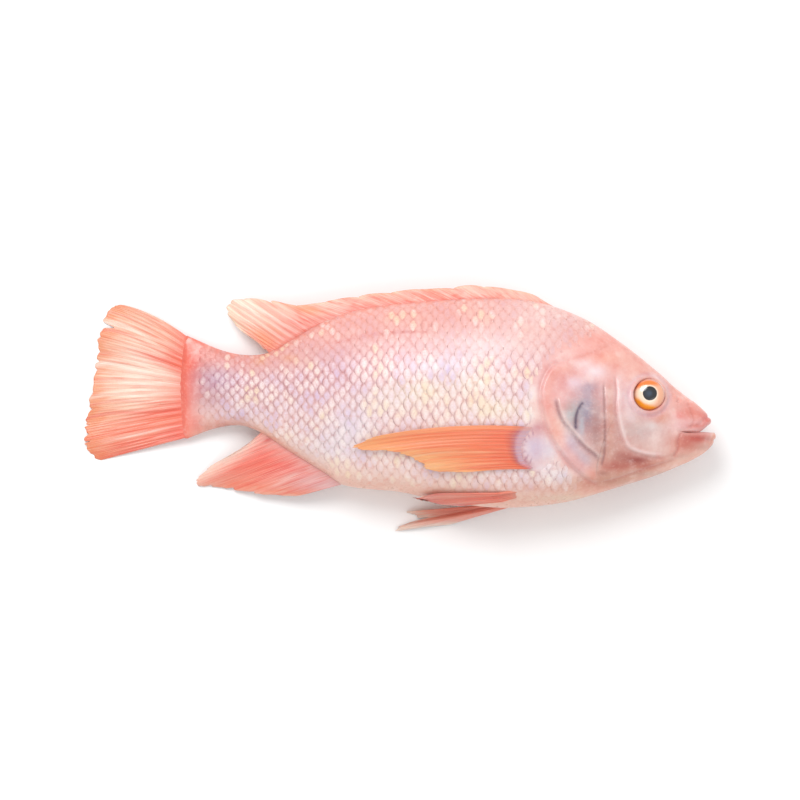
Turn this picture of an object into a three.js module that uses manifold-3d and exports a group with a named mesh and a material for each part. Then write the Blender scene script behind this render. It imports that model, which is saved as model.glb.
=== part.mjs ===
// A whole red tilapia, lying on its left flank as it would on a slab.
// +X points to the snout, +Y to the back, and +Z up out of the right flank.
// The origin is on the flat where the left flank rests, under the middle of the fish.
// Every length is in millimetres. The outlines are shares of the driving dimensions.
import * as THREE from "three";
import { mergeVertices } from "three/addons/utils/BufferGeometryUtils.js";
import Module from "manifold-3d";

const wasm = await Module();
wasm.setup();

// Driving dimensions
const bodyLength = 250.5; // snout to the root of the tail fin
const bodyDepth = 100; // back to belly at the deepest station
const bodyWidth = 46; // flank to flank at the widest station
const snoutX = 149.5; // how far the snout is in front of the origin
const seatGap = 0.4; // clearance between a fin or an eye and the body
const tableGap = 0.25; // clearance between a drooping fin and the table
const rootDepth = 2; // how far the rays would run on under the skin before they are trimmed

const eye = { diameter: 16, depth: 12, station: 0.1254, height: 0.045, proud: 2.5 };
const gape = { length: 13.5, height: 7.5, drop: -0.127, tilt: 0.05 };
const gillSlit = { width: 1.8, steps: 28 };
const caudal = { length: 49, thickness: 2.4, edge: 0.7 };
const dorsal = { rise: 7.5, thickness: 2.2, edge: 0.7, droop: 7 };
const anal = { reach: 45, thickness: 2, edge: 0.7 };
const pectoral = { length: 78, thickness: 1.4, edge: 0.6 };
const pelvic = { length: 50, thickness: 1.8, edge: 0.7 };

// Outlines of the body: station from the snout as a share of bodyLength, then a share of bodyDepth.
const backLine = [
  [0, -0.085], [0.014, -0.032], [0.05, 0.026], [0.102, 0.152], [0.17, 0.286], [0.238, 0.404],
  [0.323, 0.484], [0.405, 0.509], [0.533, 0.494], [0.649, 0.466], [0.733, 0.406], [0.8, 0.315],
  [0.844, 0.256], [0.888, 0.246], [0.936, 0.27], [1, 0.34],
];
const bellyLine = [
  [0, -0.132], [0.014, -0.205], [0.054, -0.262], [0.11, -0.326], [0.182, -0.389], [0.277, -0.456],
  [0.397, -0.487], [0.501, -0.46], [0.597, -0.41], [0.7, -0.378], [0.733, -0.326], [0.8, -0.222],
  [0.852, -0.136], [0.896, -0.094], [0.948, -0.1], [1, -0.142],
];
// Half the thickness as a share of half the bodyWidth.
const flankLine = [
  [0, 0.15], [0.014, 0.27], [0.05, 0.42], [0.11, 0.64], [0.182, 0.82], [0.257, 0.935],
  [0.357, 1], [0.477, 0.995], [0.597, 0.935], [0.717, 0.75], [0.816, 0.51], [0.896, 0.34],
  [0.956, 0.21], [1, 0.14],
];
// How far the flank is pressed into the table, as a share of half the bodyWidth. Below 0 it is clear.
const restLine = [
  [0, -0.68], [0.11, -0.225], [0.182, -0.07], [0.277, 0.04], [0.477, 0.07], [0.6, 0.055],
  [0.717, 0.03], [0.816, -0.005], [0.9, -0.02], [1, -0.035],
];
const widestShare = 0.46; // height of the thickest line above the belly, as a share of the section
const backTaper = 1.15; // above 1 the section thins towards the ridge of the back
const bellyTaper = 0.92; // below 1 the section stays full towards the belly

// The free edge of the gill cover: station, then a share of bodyDepth.
const gillEdge = [
  [0.27, 0.204], [0.312, 0.166], [0.329, 0.071], [0.325, -0.048],
  [0.308, -0.166], [0.274, -0.285], [0.24, -0.35],
];

// Smooth curve through [position, value] pairs: a cubic between neighbours with the mean slope at each.
function follow(line, at) {
  const last = line.length - 2;
  let i = 0;
  while (i < last && line[i + 1][0] < at) i += 1;
  const slope = (j) => {
    const before = line[Math.max(j - 1, 0)];
    const after = line[Math.min(j + 1, line.length - 1)];
    return (after[1] - before[1]) / (after[0] - before[0]);
  };
  const [start, end] = [line[i], line[i + 1]];
  const span = end[0] - start[0];
  const t = Math.min(Math.max((at - start[0]) / span, 0), 1);
  const [t2, t3] = [t * t, t * t * t];
  return (
    (2 * t3 - 3 * t2 + 1) * start[1] +
    (t3 - 2 * t2 + t) * span * slope(i) +
    (3 * t2 - 2 * t3) * end[1] +
    (t3 - t2) * span * slope(i + 1)
  );
}

const stationOf = (x) => (snoutX - x) / bodyLength;
const xOf = (station) => snoutX - station * bodyLength;

// The cross-section at a station: top, bottom and widest heights in Y, half thickness and mid plane in Z.
function sectionAt(station) {
  const top = follow(backLine, station) * bodyDepth;
  const bottom = follow(bellyLine, station) * bodyDepth;
  const half = (follow(flankLine, station) * bodyWidth) / 2;
  const middle = half - (follow(restLine, station) * bodyWidth) / 2;
  return { top, bottom, half, middle, widest: bottom + (top - bottom) * widestShare };
}

// A point of the skin, or "grow" outside it. The angle runs from the right flank over the back.
function skinPoint(station, angle, grow = 0) {
  const { top, bottom, half, middle, widest } = sectionAt(station);
  const rise = Math.sin(angle);
  const out = Math.cos(angle);
  const reach = grow + (rise > 0 ? top - widest : widest - bottom);
  const taper = rise > 0 ? backTaper : bellyTaper;
  return new THREE.Vector3(
    xOf(station),
    widest + reach * rise,
    middle + (half + grow) * Math.sign(out) * Math.abs(out) ** taper,
  );
}

// The point of a flank at x and height y, moved out from the skin by lift.
// side is 1 on the right flank and -1 on the left.
function onFlank(x, y, side, lift) {
  const station = stationOf(x);
  const { top, bottom, widest } = sectionAt(station);
  const reach = y > widest ? top - widest : widest - bottom;
  const rise = Math.asin(Math.min(Math.max((y - widest) / reach, -0.98), 0.98));
  const angle = side > 0 ? rise : Math.PI - rise;
  const here = skinPoint(station, angle);
  const step = 0.02;
  const along = skinPoint(station - step, angle).sub(skinPoint(station + step, angle));
  const round = skinPoint(station, angle + step).sub(skinPoint(station, angle - step));
  return here.addScaledVector(along.cross(round).normalize(), lift);
}

// Moves every corner of a three.js geometry to place(corner), and returns it as a closed mesh.
function reshaped(geometry, place) {
  const corners = geometry.getAttribute("position");
  const corner = new THREE.Vector3();
  for (let i = 0; i < corners.count; i += 1) {
    corner.fromBufferAttribute(corners, i);
    const moved = place(corner);
    corners.setXYZ(i, moved.x, moved.y, moved.z);
  }
  geometry.deleteAttribute("normal");
  geometry.deleteAttribute("uv");
  return mergeVertices(geometry, 1e-3);
}

function solidFrom(geometry) {
  geometry.deleteAttribute("normal");
  geometry.deleteAttribute("uv");
  const closed = mergeVertices(geometry, 1e-3);
  return new wasm.Manifold(
    new wasm.Mesh({
      numProp: 3,
      vertProperties: new Float32Array(closed.getAttribute("position").array),
      triVerts: new Uint32Array(closed.index.array),
    }),
  );
}

function geometryFrom(solid) {
  const { vertProperties, triVerts } = solid.getMesh();
  return new THREE.BufferGeometry()
    .setAttribute("position", new THREE.BufferAttribute(vertProperties, 3))
    .setIndex(new THREE.BufferAttribute(triVerts, 1));
}

// The trunk and head as one skin: a cylinder whose rings take the sections from snout to tail.
function trunk(grow) {
  const around = 36;
  const along = 52;
  const crowding = 1.25; // rings stand closer together towards the snout
  const tube = new THREE.CylinderGeometry(1, 1, 1, around, along);
  return reshaped(tube, ({ x, y, z }) => {
    const station = (0.5 - y) ** crowding;
    const { widest, middle } = sectionAt(station);
    const heart = new THREE.Vector3(xOf(station) + 2 * grow * y, widest, middle);
    const rim = skinPoint(station, Math.atan2(z, x), grow).setX(heart.x);
    return heart.lerp(rim, Math.hypot(x, z));
  });
}

// Where an eyeball sits: sunk into the head until only "proud" of it stands out.
function eyeCentre(side) {
  const seat = onFlank(xOf(eye.station), eye.height * bodyDepth, side, 0);
  seat.z += side * (eye.proud - eye.depth / 2);
  return seat;
}

function eyeball(side, clearance) {
  const { x, y, z } = eyeCentre(side);
  return new THREE.SphereGeometry(1, 24, 14)
    .scale(eye.diameter / 2 + clearance, eye.diameter / 2 + clearance, eye.depth / 2 + clearance)
    .translate(x, y, z);
}

// The open mouth: a wedge that narrows from the lips to its corner.
function mouthWedge() {
  const inside = new THREE.Vector2(snoutX - gape.length, gape.drop * bodyDepth);
  const outside = snoutX + seatGap;
  const wedge = new THREE.Shape([
    inside,
    new THREE.Vector2(outside, inside.y - gape.tilt * gape.length),
    new THREE.Vector2(outside, inside.y - gape.tilt * gape.length + gape.height),
  ]);
  return new THREE.ExtrudeGeometry(wedge, { depth: 2 * bodyWidth, bevelEnabled: false });
}

// The slit behind a gill cover, a shallow groove along the cover's free edge.
function gillGroove(side) {
  const points = gillEdge.map(([station, height]) => {
    const point = onFlank(xOf(station), height * bodyDepth, side, 0);
    point.z = Math.max(point.z, 0);
    return point;
  });
  const round = new THREE.Shape().absarc(0, 0, gillSlit.width / 2, 0, 2 * Math.PI, false);
  return new THREE.ExtrudeGeometry(round, {
    extrudePath: new THREE.CatmullRomCurve3(points),
    steps: gillSlit.steps,
    curveSegments: 4,
    bevelEnabled: false,
  });
}

function body() {
  const table = new THREE.BoxGeometry(2 * bodyLength, 4 * bodyDepth, bodyWidth);
  table.translate(0, 0, -bodyWidth / 2);
  const made = solidFrom(trunk(0))
    .subtract(solidFrom(table))
    .subtract(solidFrom(mouthWedge()))
    .subtract(solidFrom(eyeball(1, seatGap)))
    .subtract(solidFrom(eyeball(-1, seatGap)))
    .subtract(solidFrom(gillGroove(1)))
    .subtract(solidFrom(gillGroove(-1)));
  return geometryFrom(made);
}

// A thin fin with middle(u, v) as its mid surface, its root trimmed to clear the body by seatGap.
// u runs from the root to the edge and v across the rays.
function fin(middle, { thickness, edge }, along, across) {
  const step = 0.01;
  const plate = reshaped(new THREE.BoxGeometry(1, 1, 1, along, across, 1), ({ x, y, z }) => {
    const [u, v] = [x + 0.5, y + 0.5];
    const outward = middle(Math.min(u + step, 1), v).sub(middle(Math.max(u - step, 0), v));
    const sideways = middle(u, Math.min(v + step, 1)).sub(middle(u, Math.max(v - step, 0)));
    const normal = outward.cross(sideways).normalize();
    return middle(u, v).addScaledVector(normal, z * (thickness + (edge - thickness) * u));
  });
  return geometryFrom(solidFrom(plate).subtract(solidFrom(trunk(seatGap))));
}

// The mid surface between smooth curves through the rays' roots and tips. A bow lifts the rays halfway out.
function fan(rays) {
  const through = (part) => new THREE.CatmullRomCurve3(rays.map((ray) => ray[part]));
  const [roots, tips] = [through(0), through(1)];
  return (u, v, bow = 0) => {
    const point = roots.getPoint(v).lerp(tips.getPoint(v), u);
    point.y += bow * 4 * u * (1 - u);
    return point;
  };
}

// The tail fin: each tip is a share of its length outwards and of bodyDepth in Y, from the upper ray down.
function caudalFin() {
  const rootX = xOf(1) + rootDepth;
  const { top, bottom, middle } = sectionAt(1);
  const tips = [
    [0.68, 0.48], [0.78, 0.445], [0.845, 0.37], [0.875, 0.29], [0.91, 0.18],
    [0.94, 0.05], [0.965, -0.05], [1, -0.14], [0.985, -0.21], [0.89, -0.25],
  ];
  const rays = tips.map(([out, height], i) => {
    const down = i / (tips.length - 1);
    return [
      new THREE.Vector3(rootX, top + (bottom - top) * down, middle),
      new THREE.Vector3(rootX - out * caudal.length, height * bodyDepth, tableGap + caudal.edge / 2),
    ];
  });
  const straight = fan(rays);
  const bowed = (u, v) => straight(u, v, 0.05 * caudal.length * (1 - v) ** 2);
  return fin(bowed, caudal, 8, 26);
}

// The back fin, folded down: station of the root, station of the tip, then the tip's height in rises.
function dorsalFin() {
  const folded = [
    [0.29, 0.298, 0.25], [0.32, 0.35, 0.75], [0.4, 0.445, 0.88], [0.48, 0.535, 0.84],
    [0.56, 0.62, 0.77], [0.64, 0.71, 0.7], [0.71, 0.785, 0.95], [0.755, 0.86, 2.05],
    [0.79, 0.912, 2.65], [0.812, 0.925, 2.5], [0.826, 0.904, 1.6], [0.838, 0.86, 0.75],
  ];
  const rays = folded.map(([root, tip, height]) => {
    const { top, middle } = sectionAt(root);
    const base = top - rootDepth;
    const sunk = (dorsal.droop * (tip - root)) / 0.12;
    return [
      new THREE.Vector3(xOf(root), base, middle),
      new THREE.Vector3(xOf(tip), base + height * dorsal.rise, middle - sunk),
    ];
  });
  return fin(fan(rays), dorsal, 5, 60);
}

// The anal fin: station of the root, then how far back and down the tip is in shares of the fin's reach.
function analFin() {
  const spread = [
    [0.729, 0.42, 0.16], [0.757, 0.62, 0.27], [0.781, 0.84, 0.31], [0.805, 0.98, 0.35],
    [0.824, 0.8, 0.25], [0.838, 0.43, 0.15], [0.848, 0.13, 0.07],
  ];
  const rays = spread.map(([root, back, down]) => {
    const { bottom, middle } = sectionAt(root);
    const base = bottom + rootDepth;
    const settled = Math.min(back * 1.1, 1);
    const rest = tableGap + anal.edge;
    return [
      new THREE.Vector3(xOf(root), base, middle),
      new THREE.Vector3(
        xOf(root) - back * anal.reach,
        base - down * anal.reach,
        middle + (rest - middle) * settled,
      ),
    ];
  });
  return fin(fan(rays), anal, 8, 16);
}

// A breast fin folded back along the flank. side is 1 on the right and -1 on the left.
// Each ray has its root and its tip: back in shares of the fin's length, then a share of bodyDepth.
// The right fin is half spread. The left one is shut, and tucked between the belly and the table.
function pectoralFin(side) {
  const rootStation = 0.357;
  const halfSpread = [
    [0, -0.122, 0.9, -0.135], [0.04, -0.16, 1.03, -0.2], [0.052, -0.2, 0.78, -0.215],
    [0.05, -0.235, 0.64, -0.26], [0.03, -0.27, 0.56, -0.302], [0, -0.29, 0.34, -0.302],
  ];
  const shut = [
    [0, -0.3, 0.96, -0.31], [0.02, -0.325, 1.03, -0.33],
    [0.02, -0.35, 0.8, -0.352], [0, -0.37, 0.55, -0.372],
  ];
  const spread = side > 0 ? halfSpread : shut;
  const at = (back, height) => new THREE.Vector3(
    xOf(rootStation) - back * pectoral.length,
    height * bodyDepth,
    0,
  );
  const flat = fan(spread.map(([root, y0, tip, y1]) => [at(root, y0), at(tip, y1)]));
  const middle = (u, v) => {
    const { x, y } = flat(u, v, 0.02 * bodyDepth * (1 - v));
    const clear = seatGap + pectoral.thickness / 2;
    const point = onFlank(x, y, side, clear - rootDepth * Math.max(1 - 8 * u, 0));
    point.z = Math.max(point.z, tableGap + pectoral.thickness / 2);
    return point;
  };
  return fin(middle, pectoral, 14, 12);
}

// A belly fin, folded back. The right one lies along the belly and the left one droops to the table.
// Each ray has its root and its tip: back in shares of the fin's length, then a share of bodyDepth.
function pelvicFin(side) {
  const rootStation = 0.373;
  const { bottom, middle } = sectionAt(rootStation);
  const at = (back, height) => new THREE.Vector3(
    xOf(rootStation) - back * pelvic.length,
    height * bodyDepth,
    0,
  );
  if (side > 0) {
    const lying = [
      [0, -0.4, 0.76, -0.4], [0.04, -0.42, 0.98, -0.428],
      [0.08, -0.445, 0.8, -0.448], [0.12, -0.46, 0.52, -0.462],
    ];
    const flat = fan(lying.map(([root, y0, tip, y1]) => [at(root, y0), at(tip, y1)]));
    const onBelly = (u, v) => {
      const { x, y } = flat(u, v);
      const clear = seatGap + pelvic.thickness / 2;
      return onFlank(x, y, side, clear - rootDepth * Math.max(1 - 8 * u, 0));
    };
    return fin(onBelly, pelvic, 10, 8);
  }
  const drooping = [
    [0.1, 1.06, -0.5], [0.06, 0.94, -0.535], [0.02, 1.15, -0.59], [0, 0.62, -0.565],
  ];
  const rays = drooping.map(([root, tip, height]) => [
    at(root, 0).setY(bottom + rootDepth).setZ(middle * 0.75),
    at(tip, height).setZ(tableGap + pelvic.edge),
  ]);
  return fin(fan(rays), pelvic, 10, 10);
}

function named(name, geometry, color, roughness) {
  const mesh = new THREE.Mesh(geometry, new THREE.MeshStandardMaterial({ color, roughness, metalness: 0 }));
  mesh.name = name;
  return mesh;
}

const tilapia = new THREE.Group();
tilapia.add(
  named("body", body(), 0xf4c4bc, 0.4),
  named("eye_right", eyeball(1, 0), 0xf0a860, 0.1),
  named("eye_left", eyeball(-1, 0), 0xf0a860, 0.1),
  named("caudal_fin", caudalFin(), 0xfbc09f, 0.5),
  named("dorsal_fin", dorsalFin(), 0xfdb18f, 0.5),
  named("anal_fin", analFin(), 0xfa7e64, 0.5),
  named("pectoral_fin_right", pectoralFin(1), 0xff9056, 0.45),
  named("pectoral_fin_left", pectoralFin(-1), 0xff9056, 0.45),
  named("pelvic_fin_right", pelvicFin(1), 0xf0745c, 0.5),
  named("pelvic_fin_left", pelvicFin(-1), 0xf08a70, 0.5),
);

export default tilapia;
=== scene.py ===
# The looks of a red tilapia that lies on its left flank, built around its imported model.
# Lengths are in millimetres until a mesh is made. +X is the snout, +Y the back, +Z up.
# Outlines are shares: a station runs from 0 at the snout to 1 at the root of the tail,
# and a height is measured from the frame's axis in shares of the trunk's depth.
import math

import bpy
import numpy as np
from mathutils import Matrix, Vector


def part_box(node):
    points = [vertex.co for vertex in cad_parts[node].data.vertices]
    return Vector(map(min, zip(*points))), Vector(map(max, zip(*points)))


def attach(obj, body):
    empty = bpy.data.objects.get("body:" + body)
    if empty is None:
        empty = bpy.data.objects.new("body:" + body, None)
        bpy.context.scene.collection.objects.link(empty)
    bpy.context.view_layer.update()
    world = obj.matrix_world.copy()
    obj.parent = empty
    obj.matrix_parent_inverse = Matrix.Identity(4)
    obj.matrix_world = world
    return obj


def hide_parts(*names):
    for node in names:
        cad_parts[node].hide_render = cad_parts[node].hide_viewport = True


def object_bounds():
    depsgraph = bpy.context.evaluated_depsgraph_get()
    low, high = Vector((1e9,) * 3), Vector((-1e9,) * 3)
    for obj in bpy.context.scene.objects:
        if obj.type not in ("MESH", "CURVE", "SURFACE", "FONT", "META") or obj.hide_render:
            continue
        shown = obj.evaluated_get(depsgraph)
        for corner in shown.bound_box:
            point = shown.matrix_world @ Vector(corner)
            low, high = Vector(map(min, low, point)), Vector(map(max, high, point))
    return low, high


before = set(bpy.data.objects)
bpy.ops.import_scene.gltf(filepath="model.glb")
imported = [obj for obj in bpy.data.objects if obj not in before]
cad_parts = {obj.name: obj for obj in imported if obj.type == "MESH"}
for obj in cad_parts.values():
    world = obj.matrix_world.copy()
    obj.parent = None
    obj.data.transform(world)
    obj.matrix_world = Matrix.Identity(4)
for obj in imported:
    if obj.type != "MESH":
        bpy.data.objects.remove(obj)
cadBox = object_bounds()
print("frame loaded:", sorted(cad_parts))

mm = 0.001
dice = np.random.default_rng(7)


def nodeBox(node):
    # lowest and highest corner of a node, in millimetres
    low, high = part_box(node)
    return np.array(low) / mm, np.array(high) / mm


def follow(places, values, at):
    # a cubic between neighbouring places whose slope at each place is the mean slope around it
    places, values = np.asarray(places, float), np.asarray(values, float)
    at = np.clip(at, places[0], places[-1])
    order = np.arange(len(places))
    before, after = np.maximum(order - 1, 0), np.minimum(order + 1, len(places) - 1)
    gap = places[after] - places[before]
    slope = ((values[after] - values[before]).T / gap).T
    i = np.clip(np.searchsorted(places, at, side="right") - 1, 0, len(places) - 2)
    span = places[i + 1] - places[i]
    t = (at - places[i]) / span
    if values.ndim > 1:
        t, span = t[..., None], span[..., None]
    start = (2 * t**3 - 3 * t**2 + 1) * values[i] + (t**3 - 2 * t**2 + t) * span * slope[i]
    return start + (3 * t**2 - 2 * t**3) * values[i + 1] + (t**3 - t**2) * span * slope[i + 1]


def along(line, at):
    # a smooth curve through [place, value] pairs
    places, values = np.array(line, float).T
    return follow(places, values, at)


def smooth(t):
    # 0 below 0, 1 above 1, and 3tt - 2ttt between
    t = np.clip(t, 0, 1)
    return t * t * (3 - 2 * t)


def hump(t):
    # a bell, the exponential of minus t squared
    return np.exp(-np.square(t))


def rgb(text):
    # the linear colour of six hexadecimal digits
    parts = np.array([int(text[i : i + 2], 16) for i in (0, 2, 4)]) / 255
    return np.where(parts <= 0.04045, parts / 12.92, ((parts + 0.055) / 1.055) ** 2.4)


def blendIn(colour, text, weight):
    # moves an array of colours towards one colour by a weight for each
    return colour + (rgb(text) - colour) * np.clip(weight, 0, 1)[..., None]


def rampColours(stops, at):
    # the colour at each place on a ramp of [place, colour] stops, straight between them
    places = np.array([place for place, _ in stops])
    colours = np.array([rgb(text) for _, text in stops])
    return np.stack([np.interp(at, places, colours[:, i]) for i in range(3)], -1)


bodyShape = {
    "back": [
        [0, -0.085], [0.014, -0.032], [0.05, 0.026], [0.102, 0.152], [0.17, 0.286], [0.238, 0.404],
        [0.323, 0.484], [0.405, 0.509], [0.533, 0.494], [0.649, 0.466], [0.733, 0.406], [0.8, 0.315],
        [0.844, 0.256], [0.888, 0.246], [0.936, 0.27], [1, 0.34],
    ],
    "belly": [
        [0, -0.132], [0.014, -0.212], [0.054, -0.272], [0.11, -0.332], [0.182, -0.389], [0.277, -0.456],
        [0.397, -0.487], [0.501, -0.46], [0.597, -0.41], [0.7, -0.378], [0.733, -0.326], [0.8, -0.222],
        [0.852, -0.136], [0.896, -0.094], [0.948, -0.106], [1, -0.152],
    ],
    "flank": [
        [0, 0.15], [0.014, 0.27], [0.05, 0.42], [0.11, 0.64], [0.182, 0.82], [0.257, 0.935],
        [0.357, 1], [0.477, 0.995], [0.597, 0.935], [0.717, 0.75], [0.816, 0.51], [0.896, 0.34],
        [0.956, 0.21], [1, 0.14],
    ],
    "rest": [
        [0, -0.68], [0.11, -0.225], [0.182, -0.07], [0.277, 0.04], [0.477, 0.07], [0.6, 0.055],
        [0.717, 0.03], [0.816, -0.005], [0.9, -0.02], [1, -0.035],
    ],
    "widestShare": 0.46,  # height of the thickest line above the belly, as a share of the section
    "backTaper": 1.15,  # above 1 the section thins towards the ridge of the back
    "bellyTaper": 0.92,  # below 1 the section stays full towards the belly
    "depthSpan": 0.996,  # the outlines' own height, in depths
    "pressed": 1.03,  # width before the flank is pressed flat, over the width after
    "contact": 0.35,  # how softly the flank meets the table
}
bodyLow, bodyHigh = nodeBox("body")
snoutX = bodyHigh[0]
bodyLength = bodyHigh[0] - bodyLow[0]
bodyDepth = (bodyHigh[1] - bodyLow[1]) / bodyShape["depthSpan"]
bodyWidth = bodyHigh[2] * bodyShape["pressed"]


def stationOf(x):
    # the share of the body's length between the snout and x
    return (snoutX - x) / bodyLength


def xAt(station):
    # the x of a station, which lies that share of the body's length behind the snout
    return snoutX - station * bodyLength


def section(station):
    # top, bottom and widest heights, half thickness and mid plane at each station
    top = along(bodyShape["back"], station) * bodyDepth
    bottom = along(bodyShape["belly"], station) * bodyDepth
    half = along(bodyShape["flank"], station) * bodyWidth / 2
    middle = half - along(bodyShape["rest"], station) * bodyWidth / 2
    return top, bottom, bottom + (top - bottom) * bodyShape["widestShare"], half, middle


def skinAt(station, angle):
    # height: widest line plus reach times sine. depth: mid plane plus half times a tapered cosine
    station, angle = np.broadcast_arrays(station, angle)
    top, bottom, widest, half, middle = section(station)
    rise, out = np.sin(angle), np.cos(angle)
    reach = np.where(rise > 0, top - widest, widest - bottom)
    taper = np.where(rise > 0, bodyShape["backTaper"], bodyShape["bellyTaper"])
    z = middle + half * np.sign(out) * np.abs(out) ** taper
    return np.stack([xAt(station), widest + reach * rise, z], -1)


def skinNormal(station, angle):
    # the cross product of the slopes along and around the trunk
    step = 0.004
    lengthwise = skinAt(station - step, angle) - skinAt(station + step, angle)
    around = skinAt(station, angle + step) - skinAt(station, angle - step)
    normal = np.cross(lengthwise, around)
    return normal / np.maximum(np.linalg.norm(normal, axis=-1, keepdims=True), 1e-9)


def settle(z):
    # bends what would be under the table up to just above it
    return 0.5 * (z + np.sqrt(z * z + bodyShape["contact"] ** 2))


def flankAngle(x, y, side):
    # the angle at which a flank has height y
    top, bottom, widest, _, _ = section(stationOf(x))
    reach = np.where(y > widest, top - widest, widest - bottom)
    rise = np.arcsin(np.clip((y - widest) / reach, -0.985, 0.985))
    return rise if side > 0 else math.pi - rise


def onFlank(x, y, side, lift):
    # the point of a flank over (x, y), lifted along the skin's normal
    angle = flankAngle(x, y, side)
    point = skinAt(stationOf(x), angle) + skinNormal(stationOf(x), angle) * np.asarray(lift)[..., None]
    point[..., 2] = settle(point[..., 2])
    return point


def gridFaces(rows, columns, wrap=False, flip=False):
    # quads of a grid of points, with the row and column of each corner
    i, j = np.meshgrid(np.arange(rows - 1), np.arange(columns - (not wrap)), indexing="ij")
    i, j = i.ravel(), j.ravel()
    row, column = np.stack([i, i + 1, i + 1, i], 1), np.stack([j, j, j + 1, j + 1], 1)
    if flip:
        row, column = row[:, ::-1], column[:, ::-1]
    return row * columns + column % columns, row, column


def capFan(pole, ring, flip=False):
    # triangles from a pole to each side of a closed ring of points
    after = np.roll(ring, -1)
    corners = [np.full(len(ring), pole), after, ring] if flip else [np.full(len(ring), pole), ring, after]
    return np.stack(corners, 1)


def gridNormals(points, wrap=False):
    # the cross product of a grid's slopes down its rows and across its columns
    down = np.gradient(points, axis=0)
    across = np.gradient(points, axis=1)
    if wrap:
        across = np.roll(points, -1, 1) - np.roll(points, 1, 1)
    normal = np.cross(down, across)
    return normal / np.maximum(np.linalg.norm(normal, axis=-1, keepdims=True), 1e-9)


paintDepth = 0.87  # paints are laid deeper than they look, as the studio is bright


def addPiece(name, points, faces, material, replaced=(), maps=None, paint=None, values=None):
    # a mesh from arrays: maps hold a place for each corner, paint and values hold what each point has
    mesh = bpy.data.meshes.new(name)
    mesh.from_pydata((points * mm).tolist(), [], faces)
    mesh.polygons.foreach_set("use_smooth", np.ones(len(mesh.polygons), bool))
    for mapName, places in (maps or {}).items():
        layer = mesh.uv_layers.new(name=mapName)
        layer.data.foreach_set("uv", np.asarray(places, np.float32).ravel())
    if paint is not None:
        layer = mesh.color_attributes.new("paint", "FLOAT_COLOR", "POINT")
        full = np.concatenate([np.clip(paint * paintDepth, 0, 1), np.ones((len(paint), 1))], 1)
        layer.data.foreach_set("color", full.astype(np.float32).ravel())
    for valueName, numbers in (values or {}).items():
        layer = mesh.attributes.new(valueName, "FLOAT", "POINT")
        layer.data.foreach_set("value", np.asarray(numbers, np.float32).ravel())
    mesh.update()
    piece = bpy.data.objects.new(name, mesh)
    bpy.context.scene.collection.objects.link(piece)
    mesh.materials.append(material)
    if replaced:
        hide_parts(*replaced)
    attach(piece, "root")
    print("made", name, "with", len(faces), "faces")
    return piece


class Signal:
    # wraps an output socket, so that sums on it are written as Python and become Math nodes
    def __init__(self, look, socket):
        self.look, self.socket = look, socket

    def maths(self, operation, *others):
        numbers = dict(enumerate(others))
        return self.look.node("ShaderNodeMath", {"operation": operation}, numbers)

    def __add__(self, other):
        return self.maths("ADD", self, other)

    def __sub__(self, other):
        return self.maths("SUBTRACT", self, other)

    def __rsub__(self, other):
        return self.maths("SUBTRACT", other, self)

    def __mul__(self, other):
        return self.maths("MULTIPLY", self, other)

    def __truediv__(self, other):
        return self.maths("DIVIDE", self, other)

    def __pow__(self, other):
        return self.maths("POWER", self, other)

    __radd__ = __add__
    __rmul__ = __mul__

    def sine(self):
        return self.maths("SINE", self)

    def size(self):
        return self.maths("ABSOLUTE", self)

    def ramp(self, low, high):
        # 0 at low, 1 at high, eased between and held outside
        inputs = {"Value": self, "From Min": low, "From Max": high}
        return self.look.node("ShaderNodeMapRange", {"interpolation_type": "SMOOTHSTEP"}, inputs)


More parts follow.
